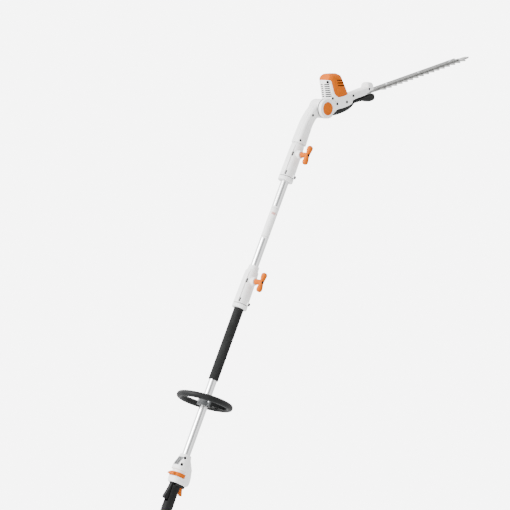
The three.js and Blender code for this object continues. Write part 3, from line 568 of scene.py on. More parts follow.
def control_housing():
    lining = cut(slide_loft(GROOVE_LOW, GROOVE_HIGH, 0), slide_loft(GROOVE_LOW - 1, GROOVE_HIGH + 1, -WALL))
    chin, chin_wall = (
        profile_cutter([(16, 60), (60, 60), (60, 82 + wall), (44, 79 + wall), (16, 60 + wall)])
        for wall in (0.001, WALL)
    )
    inner = cut(loft(HOUSING[:5], 3, WALL + 1), lining, chin_wall)
    recess = extrude([(-40, 122), (-22.2, 122), (-13.5, 150.2), (-40, 150.2)], -11, 11, "y")
    trims = [loft([(0.2, 155 + t, 30, 30), (0.2, 155.9 + t, 30, 30)], steps=1) for t in (0, 2.2)]
    ridge = [cut(trim, loft([(0, 150, 15.9, 15.9), (0, 165, 15.1, 15.1)], 3, 0, 1)) for trim in trims]
    shell = cut(
        loft(HOUSING, 3, 0, 10),
        inner,
        collar_band(GROOVE_LOW, GROOVE_HIGH, 0, 20),
        chin,
        recess,
        block((-11, 27), (-12, 12), (60, 80)),
        upright(BORE, 0, 100, 170),
        block((-16, -9), (-7.6, 7.6), (60, 80)),
        *ridge,
        *[well(at, RIGHT, 4.9) for at in HOUSING_SCREWS],
        *[rod(1.9, at, Vector(at) + Vector((0, 5, 0)), sides=24) for at in HOUSING_SCREWS],
    )
    shell_pair(shell, "control_housing", "moulding", "rear_section", WHITE, 0.7, 4)
    for name, at in zip(("upper", "lower"), HOUSING_SCREWS):
        screw = screw_solid(at, RIGHT, 4.4, 2.2, depth=4)
        piece(screw, f"{name}_housing_screw", "rear_section", DARK_STEEL, [f"housing_screw_{name}"])


def status_lens():
    lens = bevel(rod(2.1, (26, -11.2, 122), (32.2, -13.4, 122)), 0.4, 3)
    piece(lens, "status_lens", "rear_section", ORANGE)


def vent_grille():
    panel = extrude([(-25.8, 122.8), (-22.9, 122.8), (-14.5, 149.4), (-17.4, 149.4)], -10.5, 10.5, "y")
    rows = [126 + row * 4.6 for row in range(5)]
    slots = [block((-40, 0), y, (z, z + 2.2)) for z in rows for y in ((-8, -1), (1, 8))]
    shape = mould(cut(panel, *slots), 0.35, 2)
    piece(shape, "rear_grille", "rear_section", GRILLE, ["vent_grille"])


def release_slide():
    low, high = SLIDE_LOW + 0.1, SLIDE_HIGH - 0.1
    thumb = [(-24.5, low + 1), (-35.8, low + 1), (-35.8, low + 5), (-27, high - 1), (-24.5, high - 1)]
    pad = cut(extrude(thumb, -12.9, 12.9, "y"), slide_loft(low - 5, high + 5, 0.4))
    ribs = [cross_rod(0.8, 14, -37 + 3 * i, low + 4.6 + 2.9 * i, SIDES) for i in range(4)]
    shape = mould(cut(join(collar_band(low, high, 0.5, 5.3), pad), *ribs), 0.5, 3)
    piece(shape, "release_collar", "unlock_slide", ORANGE, ["release_slide"])


# Rear grip, trigger and lockout lever


BEZEL_X = 4.5
GRIP_STEPS = 15  # between two of the grip's main sections


def grip_sections():
    """The grip's waist, with fine rings, deeper where the fingers close."""
    base = [
        (GRIP_BOTTOM, 18.8, 16.8),
        (-44, 16.9, 14.9),
        (0, 17.3, 14.8),
        (40, 16.9, 14.3),
        (GRIP_TOP, 17.8, 15.3),
    ]
    rows = []
    for i in range(4 * GRIP_STEPS + 1):
        z, half_x, half_y = smooth_between(base, i / GRIP_STEPS)
        ringed = -42 < z < 6
        rise = (0.2 if i % 2 else -0.2) if ringed else 0
        rows.append((0, z, half_x + rise, half_y + rise))
    return rows


def grip():
    shell = cut(
        loft(grip_sections(), 2.4, 0, 3),
        prism(-70, 70, 14, 12, 2.4),
        block((4, 60), (-7.2, 7.2), (34, 70)),
        block((-40, -4), (-8.2, 8.2), (8, 70)),
    )
    shell_pair(shell, "grip_shell", "overmould", "rear_section", SOFT, 0.6, 3)


def trigger_bezel():
    low, high = GRIP_TOP - 0.4, HOUSING_BOTTOM
    ring = loft([(BEZEL_X, low, 25.4, 18.9), (BEZEL_X, high, 26.8, 20.3)], 3, 0, 1)
    paddle_room = block((-30, 28.4), (-8.4, 8.4), (50, 90))
    shape = cut(ring, paddle_room, block((-WIDE, -9), (-WIDE, WIDE), (50, 90)))
    piece(mould(shape, 0.45, 3), "trigger_surround", "rear_section", BLACK, ["trigger_bezel"])


def switch_carrier():
    """The wall inside the grip that carries the switch, between the trigger and the lockout lever."""
    wall = bevel(block((2.5, 4), (-12.6, 12.6), (6, 78)), 0.3, 2)
    piece(wall, "switch_carrier", "rear_section", BLACK)


def trigger():
    x, z = TRIGGER_PIN
    outline = [
        (16, 65.8), (23.8, 65.8), (27.8, 60), (30.5, 53), (33.4, 46), (35.3, 40.7),
        (34, 38.9), (32, 38.7), (29, 42), (25, 47), (20, 50.5), (16, 52.2),
    ]
    paddle = extrude(outline, -6.3, 6.3, "y")
    eye = cross_rod(4.9, 6.3, x, z, SIDES)
    ribs = [cross_rod(0.6, 8, 36.6 - 2.3 * i, 42.8 + 4.7 * i) for i in range(4)]
    coil_room = block((13, 39), (-2.6, 2.6), (61, 80))
    shape = cut(join(paddle, eye), cross_rod(2.3, 20, x, z, SIDES), coil_room, *ribs)
    piece(mould(shape, 0.4, 4), "trigger_paddle", "trigger_lever", ORANGE, ["trigger"])


def lockout_lever():
    outline = [
        (-13, 71.8), (-16.8, 71.8), (-18.4, 67), (-19.9, 62), (-22.6, 48), (-25.8, 34), (-29.4, 21.6),
        (-30, 18.4), (-28.6, 15.4), (-26.4, 13.4), (-18, 12.6), (-10.2, 12.2), (-6.2, 30), (-7.2, 62),
    ]
    shape = join(extrude(outline, -5.6, 5.6, "y"), cross_rod(2, 7.4, *LOCKOUT_PIN, SIDES))
    piece(mould(shape, 0.5, 6), "lockout_paddle", "lockout", BLACK, ["lockout_lever"])


# Battery end

BATTERY_HALF = (31.4, 29.4)


def prism(low, high, half_x, half_y, power):
    """A straight rounded prism on the grip's centre line."""
    return loft([(0, low, half_x, half_y), (0, high, half_x, half_y)], power, 0, 1)


def battery_bay():
    sections = [
        (0, BAY_BOTTOM, 37.9, 35.9),
        (0, -140, 39.3, 36.8),
        (0, -88, 37.8, 35.8),
        (0, -72, 27, 26),
        (0, BAY_TOP, 19.8, 17.8),
    ]
    half_x, half_y = BATTERY_HALF
    ribs = [
        rod(1.3, (-22, y, -100 - 9 * i), (22, y, -100 - 9 * i), sides=20)
        for i in range(5)
        for y in (-38, 38)
    ]
    shell = cut(
        loft(sections, 4, 0, 8),
        prism(-200, -86, half_x + 0.4, half_y + 0.4, 5),
        prism(-90, -40, 12, 10, 2.6),
        block((-WIDE, -20), (-13.2, 13.2), (-146.2, -109.8)),
        *ribs,
    )
    piece(mould(shell, 0.9, 4), "battery_socket_housing", "rear_section", WHITE, ["battery_bay"])


def battery_pack():
    half_x, half_y = BATTERY_HALF
    low, high = BATTERY_BOTTOM + 0.1, BATTERY_TOP - 0.1
    sections = [
        (0, low, half_x - 4, half_y - 4),
        (0, low + 3, half_x, half_y),
        (0, high, half_x, half_y),
    ]
    seam = cut(prism(-150.6, -149.8, WIDE, WIDE, 5), prism(-160, -140, half_x - 0.8, half_y - 0.8, 5))
    lights = [upright(1.6, x, low - 2, low + 1, sides=24) for x in (-9, -4.5, 0, 4.5)]
    button = cut(upright(4.2, 13, low - 2, low + 1), upright(3.4, 13, low - 3, low + 2))
    shape = cut(loft(sections, 5, 0, 1), seam, button, *lights)
    piece(mould(shape, 0.8, 4), "battery_case", "battery", GREY, ["battery_pack"])


def battery_latch():
    outline = [
        (-39.4, -144.8), (-36, -144.8), (-32.9, -141.9), (-32.9, -139.1),
        (-35.1, -136), (-35.1, -111.2), (-38.9, -111.2), (-40.8, -120),
    ]
    ribs = [cross_rod(0.7, 9, -41.6 + 0.1 * i, -124 - 4 * i) for i in range(4)]
    shape = cut(extrude(outline, -12.3, 12.3, "y"), *ribs)
    piece(mould(shape, 0.45, 3), "battery_latch_paddle", "latch", ORANGE, ["battery_latch"])


# Shaft


def tube_profile(low, high, outer=TUBE_RADIUS, wall=1.5, chamfer=0.4):
    inner = outer - wall
    return [
        (inner, low), (outer - chamfer, low), (outer, low + chamfer),
        (outer, high - chamfer), (outer - chamfer, high), (inner, high),
    ]


LABEL_MARGIN = 92  # bare tube between the label and each coupling, so that the tubes can slide


def shaft():
    for part in ("rear", "mid", "head"):
        shape = lathe(tube_profile(*heights(f"{part}_tube")), 128)
        piece(shape, f"{part}_tube_drawn", f"{part}_section", TUBE, [f"{part}_tube"], sharp=25)
    low = COUPLINGS["lower"][0] + COUPLING_LENGTH + LABEL_MARGIN
    high = COUPLINGS["upper"][0] - LABEL_MARGIN
    sleeve = lathe(tube_profile(low, high, TUBE_RADIUS + 0.14, 0.12, 0.03), 128)
    paper = label_material((low + high) / 2)
    piece(sleeve, "shaft_label", "mid_section", paper, sharp=25)


FOAM_ROWS = 40


def foam_sleeve():
    """The sleeve's wall, very slightly wavy, with rolled ends."""
    inner = TUBE_RADIUS + 0.25
    outer = box("foam_sleeve")[1].x
    low, high = heights("foam_sleeve")
    roll = [(outer - 1.6, 0.0), (outer - 0.7, 0.35), (outer - 0.2, 1.0), (outer - 0.05, 1.9)]
    profile = [(inner, low)] + [(r, low + d) for r, d in roll]
    for i in range(1, FOAM_ROWS):
        z = low + 2 + (high - low - 4) * i / FOAM_ROWS
        profile.append((outer - 0.06 - 0.06 * math.sin(i * 1.7), z))
    profile += [(r, high - d) for r, d in reversed(roll)] + [(inner, high)]
    sleeve = piece(lathe(profile, 128), "foam_grip_sleeve", "rear_section", FOAM, ["foam_sleeve"])


# Ring handle

RING_SCREW_Y = 21
RING_SIDES = 160
RING_SECTION_SIDES = 40


def ring_shape():
    """The grip ring itself, leaning a little on the shaft."""
    rings = []
    turn = Matrix.Rotation(RING_LEAN, 3, "X") @ Matrix.Rotation(RING_LEAN, 3, "Y")
    centre = Vector((RING_CENTRE.x, 0, RING_HEIGHT))
    for i in range(RING_SIDES):
        a = 2 * math.pi * i / RING_SIDES
        out = Vector((math.cos(a), math.sin(a), 0))
        ring = []
        for j in range(RING_SECTION_SIDES):
            b = 2 * math.pi * j / RING_SECTION_SIDES
            rise = Vector((0, 0, RING_SECTION * math.sin(b)))
            ring.append(centre + turn @ (out * (RING_RADIUS + RING_SECTION * math.cos(b)) + rise))
        rings.append(ring)
    return skin(rings, closed=True)


def ring_handle():
    z, low, high = RING_HEIGHT, CLAMP_LOW, CLAMP_HIGH
    hub = join(upright(19.8, 0, low, high), block((-7, 9), (-27.8, 27.8), (low, high)))
    bore = upright(BORE, 0, low - 5, high + 5)
    sides = (-RING_SCREW_Y, RING_SCREW_Y)
    holes = join(*[rod(4.9, (-30, y, z), (-4.7, y, z)) for y in sides])
    shanks = join(*[rod(2.7, (-10, y, z), (7.3, y, z)) for y in sides])
    cap = overlap(copy(hub), block((-WIDE, -GAP), (-WIDE, WIDE), (low - 10, high + 10)))
    cap = cut(cap, copy(bore), copy(holes), copy(shanks))
    piece(mould(cap, 0.6, 4), "ring_clamp_back", "ring_grip", GREY, ["ring_clamp_cap"])
    web = extrude([(10, z - 9), (75, z - 0.5), (75, z + 8), (10, z + 9)], -22.8, 22.8, "y")
    dish = [
        block((24, 66), y, height)
        for y in ((-20.5, -14.5), (14.5, 20.5))
        for height in ((z + 5, z + 30), (z - 30, z - 2.5))
    ]
    web = cut(web, block((34, 60), (-13, 13), (z - 30, z + 30)), *dish)
    overlap(hub, block((GAP, 200), (-WIDE, WIDE), (low - 10, high + 10)))
    body = cut(join(hub, web), bore, holes, shanks)
    shape = mould(join(ring_shape(), body), 0.8, 4)
    piece(shape, "ring_handle_moulding", "ring_grip", BLACK, ["ring_handle"])
    for side, y in zip(("right", "left"), sides):
        screw = screw_solid((-5.2, y, z), (-1, 0, 0), 4.5, 4.0, 2.3, 11)
        piece(screw, f"ring_bolt_{side}", "ring_grip", STEEL, [f"ring_screw_{side}"])


# Couplings


COUPLING_SLOTS = [(13, 26), (77, 90)]
SLOT_SIDES = (-13.4, -9.6)
BOLT_X, BOLT_Y, BOLT_RISE = 10.5, -24.4, 15
NOTCHES = 24


def coupling_body(height):
    top = height + COUPLING_LENGTH
    sections = [
        (-0.5, height + COLLAR_TOP + GAP, 22.4, 21.9),
        (-0.5, height + 20, 22.2, 21.7),
        (-0.5, height + 90, 20.9, 20.9),
        (-0.5, height + 117, 19.5, 19.9),
        (0, height + 123.5, 16.5, 16.5),
        (0, top, 15.5, 15.5),
    ]
    knob = height + KNOB_HEIGHT
    boss = rod(15.4, (0, -14, knob), (0, -29.9, knob), 12)
    side = [(-23.8, 12), (-16, 12), (-16, 120), (-18.5, 120), (-21.8, 108), (-23.8, 60)]
    rail = extrude([(x, height + rise) for x, rise in side], -10.8, 4.8, "y")
    lug = rod(5.9, (16, -18.5, height + 16), (4, -22.4, height + 16))
    slots = [block((-40, -15), SLOT_SIDES, (height + low, height + high)) for low, high in COUPLING_SLOTS]
    rises = [height + 36 + 9 * i for i in range(4)]
    fins = [block((-40, -22.6), (-3.5, 2.5), (rise, rise + 1.4)) for rise in rises]
    bolt_hole = rod(4.6, (BOLT_X, -30, height + BOLT_RISE), (BOLT_X, BOLT_Y - 0.2, height + BOLT_RISE))
    shoe = block((-9.3, 9.3), (-18.3, 0), (knob - 16.3, knob + 16.3))
    stud = rod(4.4, (0, -40, knob), (0, -12, knob))
    bore = upright(BORE, 0, height - 10, top + 10)
    return cut(join(loft(sections, 2.4, 0, 8), boss, rail, lug), bore, shoe, stud, bolt_hole, *slots, *fins)


def collar(height):
    """The ring at a coupling's lower end, with fine upright grip notches."""
    inner = BORE + 0.2
    low = -COLLAR_DROP
    profile = [
        (inner, low + 0.2), (inner + 0.4, low), (22, low), (22.9, low + 0.35), (23.7, low + 1.2),
        (24, low + 2.2), (24, 6.2), (23.7, 7.2), (22.9, 7.9), (22, 8.1), (inner + 0.4, 8.1), (inner, 7.9),
    ]
    shape = lathe([(r, height + rise) for r, rise in profile], 128)
    notches = []
    for i in range(NOTCHES):
        a = 2 * math.pi * i / NOTCHES
        x, y = 24.3 * math.cos(a), 24.3 * math.sin(a)
        notches.append(rod(0.9, (x, y, height + low + 2), (x, y, height + 6.4), sides=12))
    return cut(shape, join(*notches))


def wing_knob(height):
    knob = height + KNOB_HEIGHT
    hub = rod(8.9, (0, -KNOB_HUB, knob), (0, -KNOB_WING, knob), 7.8)
    stud = rod(4, (0, -18, knob), (0, -KNOB_HUB - 4, knob))
    half_wing = [(31.3, 4.4, 4.2), (27.3, 8.6, 8), (19.3, 9, 9)]
    lower = [(0, knob - reach, long, wide, 0, -KNOB_WING) for reach, long, wide in half_wing]
    upper = [(0, knob + reach, long, wide, 0, -KNOB_WING) for reach, long, wide in reversed(half_wing)]
    wing = loft(lower + [(0, knob, 6.8, 5.9, 0, -KNOB_WING)] + upper, 2.2, 0, 8)
    recess = rod(4.2, (0, -KNOB_WING - 20, knob), (0, -KNOB_WING - 1, knob))
    face = -KNOB_WING - 8.8
    heights = [knob + side * (13 + 4.5 * i) for i in range(3) for side in (-1, 1)]
    grooves = [rod(0.7, (-12, face, z), (12, face, z), sides=20) for z in heights]
    return cut(join(hub, stud, wing), recess, *grooves)


GASKET = [(BORE + 2, 8.15), (21.4, 8.15), (21.8, 8.5), (21.8, 9.4), (21.4, 9.75), (BORE + 2, 9.75)]


def couplings():
    for name, (height, body, knob_body) in COUPLINGS.items():
        shape = mould(coupling_body(height), 0.7, 4)
        piece(shape, f"{name}_coupling_casting", body, WHITE, [f"{name}_coupling_body"])
        ring = bevel(collar(height), 0.25, 2, 40)
        piece(ring, f"{name}_coupling_ring", body, WHITE, [f"{name}_coupling_collar"])
        knob = mould(wing_knob(height), 0.5, 5)
        piece(knob, f"{name}_knob_moulding", knob_body, ORANGE, [f"{name}_wing_knob"])
        bolt = screw_solid((BOLT_X, BOLT_Y, height + BOLT_RISE), (0.1, -1, 0), 4.2, 3.4, 1.5, 2)
        piece(bolt, f"{name}_coupling_bolt", body, DARK_STEEL)
        across = (SLOT_SIDES[0] - GAP, SLOT_SIDES[1] + GAP)
        seats = [
            block((-19.6, -15.6), across, (height + low - GAP, height + high + GAP))
            for low, high in COUPLING_SLOTS
        ]
        piece(join(*seats), f"{name}_coupling_seats", body, BLACK)
        knob_z = height + KNOB_HEIGHT
        nut = rod(3.9, (0, -KNOB_WING - 5.5, knob_z), (0, -KNOB_WING - 0.8, knob_z), sides=6)
        piece(bevel(nut, 0.3, 2, 30), f"{name}_knob_nut", knob_body, DARK_STEEL)
        line = [(r, height + rise) for r, rise in GASKET]
        piece(lathe(line, 96), f"{name}_coupling_gasket", body, BLACK)


# Neck

NECK = [
    (0, NECK_LOW, 20.6, 20.6),
    (0, 1250, 19.2, 19.6),
    (1, 1280, 18, 19.6, 8),
    (7, 1308, 17.6, 20.2, 25),
    (18, 1329, 21.4, DRUM_HALF - 0.1, 40),
    (PIVOT.x - 4, PIVOT.z - 4, 23.9, DRUM_HALF - 0.1, 46),
]
NECK_SCREWS = [(-13.5, -17.2, 1212), (-1, -19.2, 1304)]


NECK_POWER = 3.4
NECK_LINES = [39, 51]  # corners of a section's outline


def at_pivot(radius, low, high):
    return rod(radius, (PIVOT.x, low, PIVOT.z), (PIVOT.x, high, PIVOT.z), sides=96)


def neck_line(corner):
    """Cutters for a fine moulded line that follows the neck along one point of its outline."""
    full = padded_out(NECK[:-1])
    rows = [smooth_between(full, i / 4) for i in range(2, 4 * len(full) - 4)]
    points = [oval(row, NECK_POWER, 0)[corner] for row in rows]
    return [rod(1.5, start, end, sides=16) for start, end in zip(points, points[1:])]


def neck():
    outer = join(loft(NECK, NECK_POWER, 0, 10), at_pivot(DRUM_RADIUS, -DRUM_HALF, DRUM_HALF))
    for cutter in (cutter for corner in NECK_LINES for cutter in neck_line(corner)):
        cut(outer, cutter)
    inside = loft([(0, 1262, 18.8, 19), *NECK[2:]], 2.6, WALL)
    coupling_top = COUPLINGS["upper"][0] + COUPLING_LENGTH + 2 * GAP
    shell = cut(
        outer,
        inside,
        at_pivot(DRUM_RADIUS - WALL, -DRUM_HALF + WALL, DRUM_HALF - WALL),
        at_pivot(5.4, -40, 40),
        at_pivot(18.6, -40, -DRUM_HALF + 4.6),
        upright(BORE, 0, NECK_LOW - 10, 1270),
        upright(18.2, 0, NECK_LOW - 10, coupling_top),
        *[well(at, RIGHT, 4.2) for at in NECK_SCREWS],
    )
    shell_pair(shell, "neck_shell", "moulding", "head_section", WHITE, 0.75, 4)
    screws = [screw_solid(at, RIGHT, 3.8, 1.8, 1.3, 2.4) for at in NECK_SCREWS]
    piece(join(*screws), "neck_screws", "head_section", DARK_STEEL)


# Cutter head. X runs along the blade from the pivot and Z towards the motor.

CORE = [
    (29, -2, 19, 34, 90),
    (60, -2, 19.5, 33.5, 90),
    (95, -1, 19.5, 31, 90),
    (118, 0, 17.5, 27, 90),
    (134, 4.5, 12, 23, 90),
    (195, 5.5, 12.5, 20.5, 90),
]
BARREL = [
    (72, 6, 44, 32.5),
    (72, 20, 44, 33),
    (69, 50, 39, 32),
    (65, 82, 34, 30, 3),
    (65, 91, 28.4, 26.2, 8),
    (66, 97, 18.5, 17.5, 10),
]
BARREL_ROOM = BARREL[:5] + [(66, 97 - WALL, 18.5, 17.5, 10)]
HOOD_CORNER = [(10, 60), (34, 84), (49, 99), (49, 120), (10, 120)]
HOOD_EDGE = [(0, 86), (38, 83), (44, 68), (46, 40), (54, 26), (71, 21), (150, 20)]
BELLY_EDGE = [(16, -23), (28, -19.5), (47, -14.3), (72, -16), (100, -16), (124, -13.8), (136, -14.5)]
HEAD_TOP = 140  # past the hood
EAR_INNER = 22.3
EAR_OUTER = 36
BUTTON_RADIUS = 20.4
HEAD_SCREWS = [
    ((32.4, -19.5, 77.5), (-0.6, -0.8, 0)),
    ((29.5, -34.0, 26), (0, -1, 0)),
    ((46, -32.8, 4), (0, -1, 0)),
    ((91, -30.2, -1.5), (0, -1, 0)),
    ((131, -22.6, 8.5), (0, -1, 0)),
]
CAP_SCREW = ((211, -15.6, 10), (0, -1, 0))
HEAD_WELL = 4.6


def rounded(edge, steps=6):
    """The edge's points with a smooth curve through them."""
    return [tuple(smooth_between(edge, i / steps)) for i in range((len(edge) - 1) * steps)] + [edge[-1]]


def beyond(edge, shift, far):
    """A cutter from the edge, shifted up by so much, to a far height above or below it."""
    line = [(x, z + shift) for x, z in rounded(edge)]
    return profile_cutter(line + [(edge[-1][0], far), (edge[0][0], far)])


def barrel(inset=0.0):
    """The motor's barrel, with its rear top edge cut at a slant."""
    slant = [(x + 0.7 * inset, z - 0.7 * inset) for x, z in HOOD_CORNER]
    sections = BARREL_ROOM if inset else BARREL
    return cut(loft(sections, 2.6, inset + 0.1, 8), profile_cutter(slant))


def head_disc(radius, start, end):
    """A disc across the head on the pivot's line."""
    return rod(radius, (0, start, 0), (0, end, 0), sides=96)


def motor_housing():
    outline = [(-12, 27), (36, 24), (36, -21), (12, -27.5), (-12, -20)]
    ear = join(head_disc(31, -EAR_OUTER, -EAR_INNER), extrude(outline, -33.6, -EAR_INNER, "y"))
    outer = join(loft(CORE, 4, 0.1, 8), barrel(), ear)
    core_room = loft([(37, -2, 17, 31, 90), *CORE[1:5], (215, 5.5, 12.5, 20.5, 90)], 4, WALL)
    rows = [29 + row * 6.4 for row in range(7)]
    vents = [block((20, 38.5), y, (z, z + 3.8)) for z in rows for y in ((-25, -2.6), (2.6, 25))]
    rim = cut(head_disc(29.2, -40, -EAR_OUTER + 1.2), head_disc(BUTTON_RADIUS + 2.6, -41, -20))
    shell = cut(
        outer,
        barrel(WALL),
        core_room,
        head_disc(34, -EAR_INNER, 50),
        block((-WIDE, 27), (-EAR_INNER, 50), (-WIDE, 110)),
        block((104, 215), (-17, 17), (-30, 2)),
        block((104, 134), (-19.4, 19.4), (-30, 2)),
        head_disc(BUTTON_RADIUS + 0.4, -25.5, -50),
        cross_rod(5.3, WIDE, 0, 0, SIDES),
        rim,
        beyond(HOOD_EDGE, -GAP / 2, HEAD_TOP),
        beyond(BELLY_EDGE, GAP / 2, -WIDE),
        *vents,
        *[well(at, away, HEAD_WELL) for at, away in HEAD_SCREWS],
    )
    shell_pair(shell, "motor_housing", "moulding", "cutter_head", WHITE, 0.8, 3, HEAD)
    screws = [screw_solid(at, away, 4.2, 2.0, 1.4, 2.2) for at, away in (*HEAD_SCREWS, CAP_SCREW)]
    piece(join(*screws), "cutter_head_screws", "cutter_head", DARK_STEEL, place=HEAD)


def pivot_seal():
    """A thin rubber washer between the neck's drum and the housing's ear."""
    low, lip, high = -EAR_INNER - 2.6, -EAR_INNER + 0.05, -DRUM_HALF - 0.05
    outer = DRUM_RADIUS + 1.3
    profile = [(outer - 0.8, low), (outer, low), (outer, high), (6, high), (6, lip), (outer - 0.8, lip)]
    turn = Vector((0, 1, 0)).to_track_quat("Z", "Y")
    piece(lathe(profile, 128, turn=turn), "pivot_seal", "cutter_head", BLACK, place=HEAD)


def vent_shade_sheet():
    """A plain black sheet inside the rear vents, painted shade: it stands in for the shade inside the
    housing behind the vents.
    """
    sheet = cut(loft(BARREL_ROOM, 2.6, 3.3, 4), loft(BARREL_ROOM, 2.6, 4.3, 4))
    overlap(sheet, block((20, 45), (-27, 27), (26, 73)))
    piece(sheet, "motor_vent_shade_sheet", "cutter_head", BLACK, place=HEAD)


def motor_hood():
    hood = overlap(cut(barrel(), barrel(WALL)), beyond(HOOD_EDGE, GAP / 2, HEAD_TOP))
    slots = []
    for z in (52, 60.5, 69):
        outline = [(64, z + 5), (98, z - 3), (98, z + 0.2), (64, z + 8.2)]
        slots += [extrude(outline, -WIDE, -10, "y"), extrude(outline, 10, WIDE, "y")]
    shape = mould(cut(hood, *slots), 0.7, 4)
    piece(shape, "motor_cover", "cutter_head", ORANGE, ["motor_hood"], HEAD)


def belly_cover():
    sections = [
        (21.2, -22, 5.5, 20, 90),
        (42, -20, 13.5, 26.5, 90),
        (80, -18, 16, 27.5, 90),
        (110, -16, 13.5, 25.5, 90),
        (134, -12, 5.5, 21.8, 90),
    ]
    cover = overlap(loft(sections, 3.6, 0.1, 8), beyond(BELLY_EDGE, -GAP / 2, -WIDE))
    ribs = [cross_rod(0.9, 12, 52 + 9 * i, -34.6) for i in range(6)]
    shape = cut(cover, block((46, 112), (-18, 18), (-24, 0)), *ribs)
    piece(mould(shape, 0.7, 4), "gear_cover", "cutter_head", BLACK, ["belly_cover"], HEAD)


def blade_guard():
    sections = [
        (133.2, -13, 5.4, 20.5, 90),
        (170, -13.8, 6.4, 20, 90),
        (190, -16, 8.8, 20, 90),
        (208, -19.3, 11.8, 19.5, 90),
        (224, -19.3, 11.6, 19, 90),
        (229, -17, 8.5, 17.5, 90),
    ]
    shape = cut(loft(sections, 3.4, 0.1, 8), block((100, 260), (-17, 17), (-7.8, 5)))
    piece(mould(shape, 0.6, 5), "blade_root_guard", "cutter_head", BLACK, ["blade_guard"], HEAD)


def bar_cap():
    sections = [
        (195.3, 7, 11.5, 19.8, 90),
        (206, 7.5, 12, 19.2, 90),
        (212, 14, 16.5, 17.5, 90),
        (222, 14.5, 16, 16, 90),
        (233, 12.5, 14, 14.8, 90),
    ]
    shape = cut(
        loft(sections, 3, 0.1, 8),
        well(*CAP_SCREW, HEAD_WELL),
        block((180, 260), (-10.8, 10.8), (-10, 5.6)),
        block((180, 260), (-30, 30), (-20, -1)),
        loft(sections[:4], 3, WALL),
    )
    piece(mould(shape, 0.6, 4), "bar_root_cap", "cutter_head", WHITE, ["bar_cap"], HEAD)


def pivot_button():
    low, high = 31.6, 38.0
    profile = [
        (0.001, 34), (15, 34), (15, low), (BUTTON_RADIUS, low), (BUTTON_RADIUS, high - 1.6),
        (BUTTON_RADIUS - 0.5, high - 0.6), (BUTTON_RADIUS - 1.6, high - 0.1), (BUTTON_RADIUS - 2.6, high),
        (BUTTON_RADIUS - 3.6, high - 0.1), (BUTTON_RADIUS - 4.4, high - 0.9),
        (10, high - 0.5), (0.001, high - 0.2),
    ]
    turn = Vector(RIGHT).to_track_quat("Z", "Y")
    shape = lathe(profile, 128, turn=turn)
    piece(shape, "tilt_button_cap", "tilt_button", ORANGE, ["pivot_button"], HEAD, 50)


# Blades

UPPER_BLADE = -3.8
LOWER_BLADE = -6.2
BLADE_THICK = 2
FIRST_TOOTH = 270
TOOTH_PITCH = 25.5
TOOTH_COUNT = 16
TOOTH_REACH = 33
BLADE_HALF = 12.5
BLADE_TIP = 700
CRANK_AT = 94
THROW = 8.5
BAR_BASE = -1.4
BAR_END = 650
BLADE_BOLTS = [308.25, 461.25, 614.25]
SLOT_STEPS = 16


def blade_outline(inset):
    """Half of a blade's outline on its +Y side. inset pulls in the teeth's cutting sides."""
    edge = [(62, 20.5), (112, 20.5), (123, 11), (240, 11), (252, BLADE_HALF)]
    for i in range(TOOTH_COUNT):
        at = FIRST_TOOTH + i * TOOTH_PITCH
        edge += [
            (at - 7.5, BLADE_HALF),
            (at - 6.0 + inset * 0.5, BLADE_HALF + 2.2),
            (at - 3.0 + inset, TOOTH_REACH - 1 - inset),
            (at - 2.0 + inset * 0.6, TOOTH_REACH - inset * 0.4),
            (at + 2.0 - inset * 0.6, TOOTH_REACH - inset * 0.4),
            (at + 3.0 - inset, TOOTH_REACH - 1 - inset),
            (at + 5.6 - inset * 0.5, BLADE_HALF + 2.2),
            (at + 6.5, BLADE_HALF),
        ]
    return edge + [(BLADE_TIP - 12, BLADE_HALF - 1), (BLADE_TIP - 1, 7), (BLADE_TIP - 3.5, 3)]


def slide_slot(x, radius):
    points = []
    for side, start in ((1, -90), (-1, 90)):
        for i in range(SLOT_STEPS + 1):
            a = math.radians(start + i * 180 / SLOT_STEPS)
            points.append((x + side * (THROW + GAP) + radius * math.cos(a), radius * math.sin(a)))
    return extrude(points, -20, 20, "z")


def cutting_blade(name, body, base, ground_side):
    """A toothed plate whose teeth are ground to an angle on the face away from the other blade."""
    keen, blunt = base, base + BLADE_THICK
    if ground_side < 0:
        keen, blunt = blunt, base
    rings = []
    for height, inset in ((keen, 0.0), (keen + (blunt - keen) * 0.25, 0.0), (blunt, 1.5)):
        half = blade_outline(inset)
        other = [(x, -y) for x, y in reversed(half)]
        rings.append([(x, y, height) for x, y in other + half])
    slots = [slide_slot(x, 3.4) for x in BLADE_BOLTS]
    shape = bevel(cut(skin(rings), slide_slot(CRANK_AT, 15.2), *slots), 0.12, 2, 50)
    piece(shape, f"{name}_ground", body, BLADE, [name], HEAD, 20)


def guide_bar():
    profile = [
        (-10.2, BAR_BASE), (10.2, BAR_BASE), (10.2, 4.9), (8.4, 4.9),
        (7.6, 2.2), (6.6, 1.6), (-6.6, 1.6), (-7.6, 2.2), (-8.4, 4.9), (-10.2, 4.9),
    ]
    bar = extrude(profile, 130, BAR_END, "x")
    holes = [upright(3.3, x, -20, 20) for x in BLADE_BOLTS]
    nose = extrude([(640, -20), (660, -20), (660, 20), (640, 20), (652, 0)], -5, 10, "z")
    dimples = [upright(2.2, x, 1.1, 10, 2.6) for x in (270, 385, 538)]
    shape = bevel(cut(bar, nose, *holes, *dimples), 0.35, 3, 35)
    piece(shape, "guide_bar_rolled", "cutter_head", BAR, ["guide_bar"], HEAD, 30)


